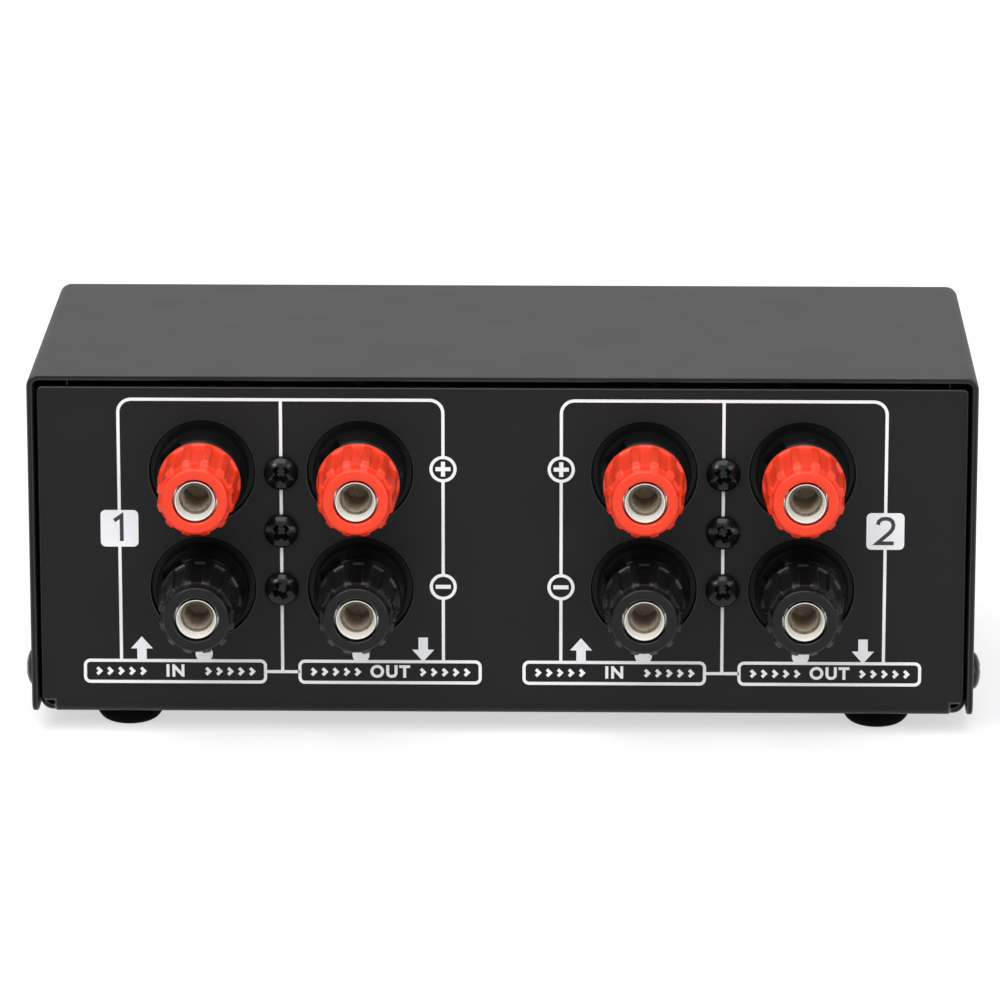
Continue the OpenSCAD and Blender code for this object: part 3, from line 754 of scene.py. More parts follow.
class Pattern(Enum):
    """The Geometry Nodes trees that shape and repeat pieces."""

    FLUTES = "flutes"
    COPIES = "copies"

    def tree(self) -> bpy.types.NodeTree:
        """Gives the pattern's tree, built once."""
        found = bpy.data.node_groups.get(self.value)
        return found or (self._flutes() if self is Pattern.FLUTES else self._copies())

    def _flutes(self) -> bpy.types.NodeTree:
        """Builds a tree that cuts grooves into a turned piece, straight or as a thread."""
        tree = Tree(self.value, {"Flutes": "Int", "Land": "Float", "Softness": "Float", "Threads": "Float"})
        given = tree.given
        spot = tree.add("GeometryNodeInputPosition").outputs[0]
        x, y, z = tree.add("ShaderNodeSeparateXYZ", {"Vector": spot}).outputs
        turns = tree.math("MULTIPLY", tree.math("ARCTAN2", y, x), 1 / math.tau)
        rise = tree.math("MULTIPLY", z, given["Threads"])
        phase = tree.math("FRACT", tree.math("MULTIPLY_ADD", turns, given["Flutes"], rise))
        away = tree.math("MULTIPLY", tree.math("ABSOLUTE", tree.math("SUBTRACT", phase, 0.5)), 2.0)
        start, end = (tree.math(sign, given["Land"], given["Softness"]) for sign in ("SUBTRACT", "ADD"))
        inputs = {"Value": away, "From Min": start, "From Max": end}
        wall = tree.add("ShaderNodeMapRange", inputs, interpolation_type="SMOOTHSTEP").outputs["Result"]
        depth = tree.add("GeometryNodeInputNamedAttribute", {"Name": GROOVE}, data_type="FLOAT").outputs[0]
        cut_depth = tree.math("MULTIPLY", tree.math("MULTIPLY", wall, depth), -1.0)
        flat = tree.add("ShaderNodeCombineXYZ", {"X": x, "Y": y}).outputs[0]
        outwards = tree.add("ShaderNodeVectorMath", {"Vector": flat}, operation="NORMALIZE").outputs["Vector"]
        inputs = {"Vector": outwards, "Scale": cut_depth}
        move = tree.add("ShaderNodeVectorMath", inputs, operation="SCALE").outputs["Vector"]
        inputs = {"Geometry": given["Geometry"], "Offset": move}
        return tree.end(tree.add("GeometryNodeSetPosition", inputs).outputs[0])

    def _copies(self) -> bpy.types.NodeTree:
        """Builds a tree that sets a copy on each point, turned by an even step or at random."""
        inputs = {"Copy": "Object", "Start": "Float", "Step": "Float", "Spin": "Float", "Seed": "Int"}
        tree = Tree(self.value, inputs)
        given = tree.given
        copy = tree.add("GeometryNodeObjectInfo", {"Object": given["Copy"]}).outputs["Geometry"]
        chance = tree.add("FunctionNodeRandomValue", {"Seed": given["Seed"]}, data_type="FLOAT")
        least, most = [socket for socket in chance.inputs if socket.type == "VALUE"][:2]
        tree.feed(tree.math("MULTIPLY", given["Spin"], -1.0), least)
        tree.feed(given["Spin"], most)
        spin = next(socket for socket in chance.outputs if socket.type == "VALUE")
        index = tree.add("GeometryNodeInputIndex").outputs[0]
        even = tree.math("MULTIPLY_ADD", index, given["Step"], given["Start"])
        turn = tree.add("ShaderNodeCombineXYZ", {"Z": tree.math("ADD", even, spin)}).outputs[0]
        inputs = {"Points": given["Geometry"], "Instance": copy, "Rotation": turn}
        return tree.end(tree.add("GeometryNodeInstanceOnPoints", inputs).outputs[0])

    def run(self, piece: bpy.types.Object, finish: Finish, **values: object) -> None:
        """Runs the pattern on a piece and keeps the result as a plain mesh.

        Args:
            piece: The piece.
            finish: The finish of the result.
            **values: The value of each named input.
        """
        tree = self.tree()
        modifier = piece.modifiers.new(self.value, "NODES")
        modifier.node_group = tree
        given = {"Material": finish.make(), **values}
        for item in tree.interface.items_tree:
            if item.in_out == "INPUT" and item.name in given:
                modifier[item.identifier] = given[item.name]
        bake(piece)


def repeated(
    name: str, pattern: bpy.types.Object, spots: Sequence[Vector], finish: Finish, **values: object
) -> bpy.types.Object:
    """Sets a copy of a pattern on each spot, as one piece, and takes the pattern away.

    Args:
        name: The piece's name.
        pattern: What is copied.
        spots: Where the copies go.
        finish: The piece's finish.
        **values: Further inputs of the tree that makes the copies.

    Returns:
        The piece.
    """
    mesh = bpy.data.meshes.new(name)
    mesh.from_pydata(spots, [], [])
    piece = link(name, mesh)
    Pattern.COPIES.run(piece, finish, Copy=pattern, **values)
    remove(pattern)
    return piece


def smooth(*spots: Point2) -> list[Grooved]:
    """Gives points of a turned outline that no groove reaches."""
    return [(spot, 0.0) for spot in spots]


def grooved(
    name: str, outline: Sequence[Grooved], steps: int, finish: Finish, groove: Groove
) -> bpy.types.Object:
    """Makes a turned piece with grooves.

    Args:
        name: The piece's name.
        outline: Its points, each with the depth of the grooves there.
        steps: The number of steps around its axis.
        finish: Its finish.
        groove: Its grooves.

    Returns:
        The piece.
    """
    spots, depths = zip(*outline)
    piece = Form().turned(spots, steps, depths).piece(name, finish)
    Pattern.FLUTES.run(
        piece, finish,
        Flutes=groove.count, Land=groove.land, Softness=groove.softness, Threads=groove.threads,
    )
    return piece


def drilled(
    piece: bpy.types.Object, finish: Finish, radius: float, start: float, end: float, place: Matrix
) -> None:
    """Drills a hole into a piece.

    Args:
        piece: The piece.
        finish: The finish of the hole's wall.
        radius: The hole's radius.
        start: Where the hole starts on its axis.
        end: Where it ends.
        place: The frame whose Z is the hole's axis.
    """
    outline = [(0, start), (radius, start), (radius, end), (0, end)]
    cut(piece, Form().turned(outline, HOLE_STEPS).piece("drill", finish, place))


def cut(piece: bpy.types.Object, tool: bpy.types.Object) -> None:
    """Cuts a tool's shape out of a piece and takes the tool away."""
    modifier = piece.modifiers.new("cut", "BOOLEAN")
    modifier.operation, modifier.solver, modifier.object = "DIFFERENCE", "EXACT", tool
    bake(piece)
    remove(tool)


def soften(rig: Rig, node: str, width: float, steps: int, edge: Finish | None = None) -> None:
    """Hangs a copy of a CAD node with rounded edges in its place.

    Args:
        rig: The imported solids.
        node: The node.
        width: The width of the rounding.
        steps: The number of steps across the rounding.
        edge: The finish of the rounding. Without one, the rounding is held back where edges lie close.
    """
    form = Form()
    form.mesh.from_mesh(rig.nodes[node].data)
    bmesh.ops.remove_doubles(form.mesh, verts=form.mesh.verts, dist=10 * TINY)
    flat = math.radians(FLAT_ANGLE)
    bmesh.ops.dissolve_limit(form.mesh, angle_limit=flat, verts=form.mesh.verts, edges=form.mesh.edges)
    piece = form.piece(node + "_soft", finish_of(node))
    shade(piece)
    bevel = piece.modifiers.new("edges", "BEVEL")
    bevel.width, bevel.segments, bevel.limit_method = width, steps, "ANGLE"
    bevel.angle_limit = math.radians(SHARP_ANGLE)
    bevel.harden_normals, bevel.use_clamp_overlap, bevel.loop_slide = True, not edge, False
    if edge:
        piece.data.materials.append(edge.make())
        bevel.material = 1
    bake(piece)
    rig.hang(piece, node)


@dataclass(frozen=True)
class Screw:
    """A pan head screw with a cross recess, along +Z with its head's underside at 0."""

    head_d: float
    head_h: float = 1.76 * MM
    rim_share: float = 0.3
    edge: float = 0.1 * MM
    dome_steps: int = 12
    length: float = 5 * MM
    shank_d: float = 3 * MM
    recess_share: float = 0.62
    recess_w: float = 1.15 * MM
    recess_depth: float = 1.5 * MM
    recess_taper: float = 0.4
    fillet: float = 1.15
    clear: float = 0.2 * MM

    def pattern(self) -> bpy.types.Object:
        """Makes one screw."""
        radius, rim = self.head_d / 2, self.rim_share * self.head_h
        angles = [math.pi / 2 * k / self.dome_steps for k in range(self.dome_steps)]
        dome = [(radius * math.cos(a), rim + (self.head_h - rim) * math.sin(a)) for a in angles]
        shank = [(0, -self.length), (self.shank_d / 2, -self.length), (self.shank_d / 2, 0)]
        outline = [*shank, (radius - self.edge, 0), (radius, self.edge), *dome, (0, self.head_h)]
        screw = Form().turned(outline, ROUND_STEPS).piece("screw", SCREW_BLACK)
        cut(screw, self._recess())
        return screw

    def _recess(self) -> bpy.types.Object:
        """Makes the tapered cross that is cut into the head."""
        arm, half = self.head_d / 2 * self.recess_share, self.recess_w / 2
        quarter = [(arm, -half), (arm, half), (self.fillet * half, self.fillet * half)]
        quarters = ((1, 0), (0, 1), (-1, 0), (0, -1))
        cross = [(x * c - y * s, x * s + y * c) for c, s in quarters for x, y in quarter]
        form = Form().slab(cross, self.head_h - self.recess_depth, self.head_h + self.clear)
        for vertex in form.mesh.verts:
            if vertex.co.z < self.head_h:
                vertex.co.xy *= self.recess_taper
        return form.piece("recess", SCREW_BLACK)


@dataclass(frozen=True)
class SubAssembly:
    """Pieces that belong together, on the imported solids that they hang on."""

    rig: Rig

    def build(self) -> None:
        """Makes the pieces and hangs them on the frame."""
        raise NotImplementedError


@dataclass(frozen=True)
class Case(SubAssembly):
    """The cover, the base, the feet and the cover screws."""

    edge_w: float = 0.3 * MM
    edge_steps: int = 4
    foot_r: float = 5.4 * MM
    foot_edge_r: float = 2.6 * MM
    foot_steps: int = 72
    screw_head_d: float = 6 * MM

    def build(self) -> None:
        """Makes the case's pieces."""
        for node, edge in (("top_cover", CASE_RIM), ("chassis_base", CASE_EDGE)):
            soften(self.rig, node, self.edge_w, self.edge_steps, edge)
        self._feet()
        self._screws()

    def _feet(self) -> None:
        """Makes the four domed feet."""
        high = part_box("rubber_feet")[1]
        radius, edge = self.foot_r, self.foot_edge_r
        outline = [(0, 0), *arc((radius - edge, edge), edge, -90, 0, 10), (radius, high.z), (0, high.z)]
        foot = Form().turned(outline, self.foot_steps).piece("foot", FOOT_RUBBER)
        across, along = high.x - radius, high.y - radius
        spots = [Vector((x * across, y * along, 0)) for x in (-1, 1) for y in (-1, 1)]
        feet = repeated("feet", foot, spots, FOOT_RUBBER, Spin=math.pi, Seed=3)
        shade(feet)
        self.rig.hang(feet, "rubber_feet")

    def _screws(self) -> None:
        """Makes the four cover screws, two a side."""
        low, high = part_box("cover_screws")
        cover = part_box("top_cover")[1].x
        reach = high.y - self.screw_head_d / 2
        form = Form()
        for side in (-1, 1):
            turn = Matrix.Rotation(side * math.pi / 2, 4, "Y")
            place = Matrix.Translation((side * cover, 0, (low.z + high.z) / 2)) @ turn
            spots = [Vector((0, y, 0)) for y in (-reach, reach)]
            pattern = Screw(self.screw_head_d).pattern()
            pair = repeated("pair", pattern, spots, SCREW_BLACK, Spin=math.pi, Seed=5 + side)
            pair.data.transform(place)
            form.mesh.from_mesh(pair.data)
            remove(pair)
        screws = form.piece("case_screws", SCREW_BLACK)
        shade(screws, 40)
        self.rig.hang(screws, "cover_screws")


@dataclass(frozen=True)
class BindingPosts(SubAssembly):
    """The eight posts: threaded, bored studs and ribbed caps. Heights run outwards from the rear panel."""

    tail_r: float = 2.5 * MM
    tail_s: float = -12 * MM
    collar_r: float = 5 * MM
    collar_s: tuple[float, float] = (1.6 * MM, 2.6 * MM)
    stud_r: float = 3.2 * MM
    stud_s: float = 18.35 * MM
    rim_r: float = 3.0 * MM
    seat_r: float = 2.6 * MM
    bore_r: float = 2.1 * MM
    bore_s: float = 7.35 * MM
    mouth_depth: float = 2.1 * MM
    edge: float = 0.08 * MM
    thread_s: tuple[float, float] = (6.4 * MM, 15.2 * MM)
    thread_depth: float = 0.28 * MM
    thread_pitch: float = 1 * MM
    thread_rows: int = 8
    wire_hole_r: float = 1.4 * MM
    wire_hole_s: float = 4.8 * MM
    wire_turn: float = 135.0
    cap_r: float = 6.55 * MM
    cap_front_r: float = 6.1 * MM
    cap_edge: float = 0.1 * MM
    rib_set: float = 0.1 * MM
    rib_h: float = 0.4 * MM
    rib_rows: int = 8
    rib_steps: int = 20
    ribs: int = 12
    shell_s: float = 6.7 * MM
    band: float = 1 * MM
    shoulder_s: float = 17.05 * MM
    shoulder_step: float = 0.02 * MM
    rib_end_s: float = 17.45 * MM
    rib_slope: float = 0.8 * MM
    nose_r: float = 5.2 * MM
    nose_s: float = 18.75 * MM
    nose_round: float = 0.4 * MM
    hole_r: float = 3.5 * MM
    hole_lip: float = 0.3 * MM
    insert_r: float = 4.55 * MM
    insert_s: float = 15.05 * MM
    flange_r: float = 6.2 * MM
    flange_s: float = 7.05 * MM

    def build(self) -> None:
        """Makes one stud and one cap of each colour, and sets them on every post."""
        stud = self._stud()
        caps = {pole: self._cap(pole) for pole in Pole}
        for channel in Channel:
            for port in Port:
                for pole in Pole:
                    post = f"{channel.label}_{port.label}_{pole.value}"
                    for node, pattern in (("stud_" + post, stud), ("cap_shell_" + post, caps[pole])):
                        self.rig.hang_copy(pattern, node, Face.REAR.at(node))
        for pattern in (stud, *caps.values()):
            remove(pattern)

    def _stud(self) -> bpy.types.Object:
        """Makes a stud with its thread, flared bore and cross hole, with a painted highlight in its mouth and
        painted shade on its seat and in its bore.
        """
        thread = Groove(1, 0.5, 0.45, -1 / self.thread_pitch)
        stud = grooved("stud_pattern", self._stud_outline(), ROUND_STEPS, NICKEL, thread)
        turn = Matrix.Rotation(math.radians(self.wire_turn), 4, "Z") @ Matrix.Rotation(math.pi / 2, 4, "Y")
        place = Matrix.Translation((0, 0, self.wire_hole_s)) @ turn
        drilled(stud, NICKEL, self.wire_hole_r, -self.collar_r, self.collar_r, place)
        shade(stud, 30)
        # Painted light by depth: a highlight in the mouth, and shade on the seat and in the bore
        for finish in (MOUTH_PAINTED_HIGHLIGHT, SEAT_PAINTED_SHADE, BORE_PAINTED_SHADE):
            stud.data.materials.append(finish.make())
        for face in stud.data.polygons:
            face.material_index = self._depth(face.center)
        return stud

    def _depth(self, spot: Vector) -> int:
        """Tells how deep a spot on a stud lies, which picks its finish: 0 outside, 1 in the mouth (painted
        highlight), 2 on its seat (painted shade), 3 in the bore (painted shade).
        """
        if spot.xy.length > self.rim_r or spot.z < self.bore_s - TINY:
            return 0
        over = spot.z - (self.stud_s - self.mouth_depth)
        return 1 if over > TINY else 2 if over > -TINY else 3

    def _stud_outline(self) -> list[Grooved]:
        """Gives a stud's outline, each point with the depth of the thread there."""
        start, end = self.thread_s
        rows = round((end - start) / self.thread_pitch * self.thread_rows)
        thread = [
            ((self.stud_r, start + (end - start) * k / rows), self.thread_depth if 0 < k < rows else 0.0)
            for k in range(rows + 1)
        ]
        seat_s = self.stud_s - self.mouth_depth
        return [
            *smooth(
                (0, self.tail_s), (self.tail_r, self.tail_s), (self.tail_r, self.collar_s[0]),
                (self.collar_r, self.collar_s[0]), (self.collar_r, self.collar_s[1]),
                (self.stud_r, self.collar_s[1]),
            ),
            *thread,
            *smooth(
                (self.stud_r, self.stud_s - self.edge), (self.stud_r - self.edge, self.stud_s),
                (self.rim_r, self.stud_s), (self.rim_r - self.edge / 2, self.stud_s - self.edge),
                (self.seat_r, seat_s), (self.bore_r, seat_s), (self.bore_r, self.bore_s), (0, self.bore_s),
            ),
        ]

    def _cap(self, pole: Pole) -> bpy.types.Object:
        """Makes a ribbed cap of a pole's colour."""
        finish = RED_CAP if pole is Pole.POSITIVE else BLACK_CAP
        steps, groove = self.rib_steps * self.ribs, Groove(self.ribs, 0.45, 0.1)
        cap = grooved(f"cap_pattern_{pole.value}", self._cap_outline(), steps, finish, groove)
        shade(cap, 50)
        return cap

    def _cap_outline(self) -> list[Grooved]:
        """Gives a cap's outline, each point with the depth of the grooves between the ribs there."""
        band_s = self.shell_s + self.band
        base_r = self.cap_r - self.rib_set
        slope_s = self.rib_end_s - self.rib_slope
        first_s = band_s + self.cap_edge
        taper, run = self.cap_front_r - base_r, slope_s - first_s
        shares = [k / self.rib_rows for k in range(self.rib_rows + 1)]
        ribs = [((base_r + taper * share, first_s + run * share), self.rib_h) for share in shares]
        fall = (self.cap_front_r - self.nose_r) / self.rib_slope
        mid_r = self.cap_front_r - fall * (self.shoulder_s - slope_s)
        step = self.shoulder_step
        nose = (self.nose_r - self.nose_round, self.nose_s - self.nose_round)
        lip = (self.hole_r + self.hole_lip, self.nose_s - self.hole_lip)
        return [
            *smooth(
                (self.flange_r, self.shell_s), (self.cap_r - self.cap_edge, self.shell_s),
                (self.cap_r, self.shell_s + self.cap_edge), (self.cap_r, band_s - self.cap_edge),
                (base_r, band_s),
            ),
            *ribs,
            ((mid_r + step, self.shoulder_s - step), max(mid_r - self.cap_front_r + self.rib_h, 0.0)),
            ((mid_r, self.shoulder_s), mid_r - self.nose_r),
            *smooth(
                (self.nose_r, self.rib_end_s), (self.nose_r, self.nose_s - self.nose_round),
                *arc(nose, self.nose_round, 18, 90, 4), *arc(lip, self.hole_lip, 90, 180, 4),
                (self.hole_r, self.insert_s), (self.insert_r, self.insert_s),
                (self.insert_r, self.flange_s), (self.flange_r, self.flange_s),
            ),
        ]


@dataclass(frozen=True)
class TerminalBlocks(SubAssembly):
    """The two moulded blocks and the screws that hold them."""

    edge_w: float = 0.12 * MM
    edge_steps: int = 2
    head_d: float = 5.4 * MM
    screw_length: float = 8 * MM

    def build(self) -> None:
        """Makes the blocks and their screws."""
        for channel in Channel:
            soften(self.rig, f"terminal_block_{channel.label}", self.edge_w, self.edge_steps)
        low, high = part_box("terminal_screws")
        across, step = high.x - self.head_d / 2, (high.z - low.z - self.head_d) / 2
        spots = [Vector((x * across, k * step, 0)) for x in (-1, 1) for k in (-1, 0, 1)]
        pattern = Screw(self.head_d, length=self.screw_length).pattern()
        screws = repeated("block_screws", pattern, spots, SCREW_BLACK, Spin=math.pi / 3, Seed=4)
        screws.data.transform(Face.REAR.at("terminal_screws"))
        shade(screws, 40)
        self.rig.hang(screws, "terminal_screws")


@dataclass(frozen=True)
class RearPrint(SubAssembly):
    """The white print around the posts. Heights run up from the base's underside."""

    line: float = 0.5 * MM
    ink: float = 0.03 * MM
    root: float = -0.02 * MM
    root_step: float = 0.05
    ink_step: float = 0.15
    outer_x: float = 60.7 * MM
    inner_x: float = 9.35 * MM
    middle_x: float = 35 * MM
    post_pitch: float = 25 * MM
    top: float = 51.7 * MM
    corner_r: float = 2.1 * MM
    box_low: float = 5.3 * MM
    box_high: float = 8.8 * MM
    box_near: float = 2.75 * MM
    box_far: float = 31.5 * MM
    box_corner_r: float = 0.8 * MM
    sign_d: float = 4.3 * MM
    sign_reach: float = 1.2 * MM
    sign_w: float = 0.65 * MM
    plus_z: float = 40.5 * MM
    minus_z: float = 21.2 * MM
    tag: float = 6 * MM
    tag_corner_r: float = 0.8 * MM
    tag_z: float = 30.6 * MM
    tag_text: float = 4.2 * MM
    tag_line: float = 0.62 * MM
    dot_d: float = 2.75 * MM
    dot_z: float = 9.95 * MM
    arrow_shift: float = 5.3 * MM
    arrow_w: float = 3.5 * MM
    arrow_h: float = 4.0 * MM
    shaft_w: float = 1.5 * MM
    text: float = 2.7 * MM
    bold: float = 0.04
    spacing: float = 1.2
    chevron: float = 0.55 * MM
    chevron_line: float = 0.5 * MM
    chevron_from: float = 5.2 * MM
    chevron_step: float = 1.75 * MM
    chevrons: int = 5

    @property
    def place(self) -> Matrix:
        """The frame of the print, on the rear panel over the base's underside."""
        low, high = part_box("chassis_base")
        return Face.REAR.frame(0, high.y, low.z)

    @property
    def middle_z(self) -> float:
        """The height of the label boxes' middle."""
        return (self.box_low + self.box_high) / 2

    def build(self) -> None:
        """Prints both channels."""
        lines, fills, marks = Form(), Form(), Form()
        for channel in Channel:
            self._frame(lines, channel)
            self._signs(lines, channel)
            self._tag(fills, marks, channel)
            for port in Port:
                self._label(lines, channel, port)
                self._arrow(fills, channel, port)
        self.rig.print_on(lines.piece("print_lines", WHITE_INK, self.place))
        self.rig.print_on(fills.piece("print_fills", GREY_INK, self.place))
        self.rig.print_on(marks.piece("print_marks", DARK_INK, self.place), "black_paint")
        self.rig.print_on(self._chevrons())

    def _level(self, layer: int) -> tuple[float, float]:
        """Gives the lower and upper height of a layer of ink, so that no two layers share a face."""
        return self.root * (1 + self.root_step * layer), self.ink * (1 + self.ink_step * layer)

    def _frame(self, form: Form, channel: Channel) -> None:
        """Draws the frame around a channel's posts, with a line down its middle."""
        outer, inner, middle = (-channel.sign * x for x in (self.outer_x, self.inner_x, self.middle_x))
        level = self._level(Layer.FRAME)
        tag, ring = self.tag / 2, (self.sign_d - self.line) / 2
        left, right = sorted((outer, inner))
        ends = {outer: self.tag_z + tag, inner: self.plus_z + ring}
        r = self.corner_r
        path = [
            (left, ends[left]), *arc((left + r, self.top - r), r, 180, 90, 8),
            *arc((right - r, self.top - r), r, 90, 0, 8), (right, ends[right]),
        ]
        form.stroke(path, self.line, *level)
        foot = self.box_high - self.line / 2
        for x, start, end in (
            (outer, foot, self.tag_z - tag),
            (inner, foot, self.minus_z - ring),
            (inner, self.minus_z + ring, self.plus_z - ring),
            (middle, self.middle_z, self.top - self.line / 2),
        ):
            form.stroke([(x, start), (x, end)], self.line, *level)

    def _signs(self, form: Form, channel: Channel) -> None:
        """Draws the ringed plus and minus signs."""
        x, reach, level = -channel.sign * self.inner_x, self.sign_reach, self._level(Layer.SIGN)
        for height in (self.plus_z, self.minus_z):
            ring = arc((x, height), (self.sign_d - self.line) / 2, 0, 360, 48)[:-1]
            form.stroke(ring, self.line, *level, closed=True)
            form.stroke([(x - reach, height), (x + reach, height)], self.sign_w, *level)
        upright = [(x, self.plus_z - reach), (x, self.plus_z + reach)]
        form.stroke(upright, self.sign_w, *self._level(Layer.UPRIGHT))

    def _tag(self, fills: Form, marks: Form, channel: Channel) -> None:
        """Prints a channel's number, dark on a white tag."""
        x, half = -channel.sign * self.outer_x, self.tag / 2
        corners = (x - half, self.tag_z - half), (x + half, self.tag_z + half)
        fills.slab(rounded(*corners, self.tag_corner_r), *self._level(Layer.SIGN))
        path = [(x + self.tag_text * a, self.tag_z + self.tag_text * b) for a, b in channel.number]
        low, high = (self._level(layer)[1] for layer in (Layer.FRAME, Layer.UPRIGHT))
        marks.stroke(path, self.tag_line, low, high)

    def _span(self, channel: Channel, port: Port) -> tuple[float, float]:
        """Gives the left and right edge of a port's label box."""
        middle, way = -channel.sign * self.middle_x, -port.sign
        left, right = sorted((middle + way * self.box_near, middle + way * self.box_far))
        return left, right

    def _label(self, form: Form, channel: Channel, port: Port) -> None:
        """Draws a port's label box, its word, its dot and the short line to the middle."""
        left, right = self._span(channel, port)
        box = rounded((left, self.box_low), (right, self.box_high), self.box_corner_r)
        level = self._level(Layer.BOX)
        form.stroke(box, self.line, *level, closed=True)
        spot = ((left + right) / 2, self.middle_z)
        form.lettering(port.word, spot, self.text, *level, self.bold, self.spacing)
        middle = -channel.sign * self.middle_x
        join = [(middle, self.middle_z), (middle - port.sign * self.box_near, self.middle_z)]
        form.stroke(join, self.line, *self._level(Layer.JOIN + port.sign))
        dot = arc((middle - port.sign * self.post_pitch / 2, self.dot_z), self.dot_d / 2, 0, 360, 32)
        form.slab(dot[:-1], *self._level(Layer.DOT))

    def _arrow(self, form: Form, channel: Channel, port: Port) -> None:
        """Draws the arrow at a port's label box."""
        x = sum(self._span(channel, port)) / 2 - port.sign * self.arrow_shift
        half, shaft, neck = self.arrow_w / 2, self.shaft_w / 2, self.arrow_h / 2
        shape = [
            (-shaft, 0), (shaft, 0), (shaft, neck), (half, neck),
            (0, self.arrow_h), (-half, neck), (-shaft, neck),
        ]
        base = self.box_high + (0 if port.way > 0 else self.arrow_h)
        form.slab([(x + a, base + port.way * b) for a, b in shape], *self._level(Layer.ARROW))

    def _chevrons(self) -> bpy.types.Object:
        """Fills each label box with small chevrons on both sides of its word."""
        size = self.chevron
        shape = [(-size / 2, size), (size / 2, 0), (-size / 2, -size)]
        form = Form().stroke(shape, self.chevron_line, *self._level(Layer.BOX))
        pattern = form.piece("chevron", WHITE_INK)
        middles = [sum(self._span(channel, port)) / 2 for channel in Channel for port in Port]
        row = [self.chevron_from + self.chevron_step * k for k in range(self.chevrons)]
        steps = [side * step for side in (-1, 1) for step in row]
        spots = [Vector((middle + step, self.middle_z, 0)) for middle in middles for step in steps]
        chevrons = repeated("print_chevrons", pattern, spots, WHITE_INK)
        chevrons.data.transform(self.place)
        return chevrons


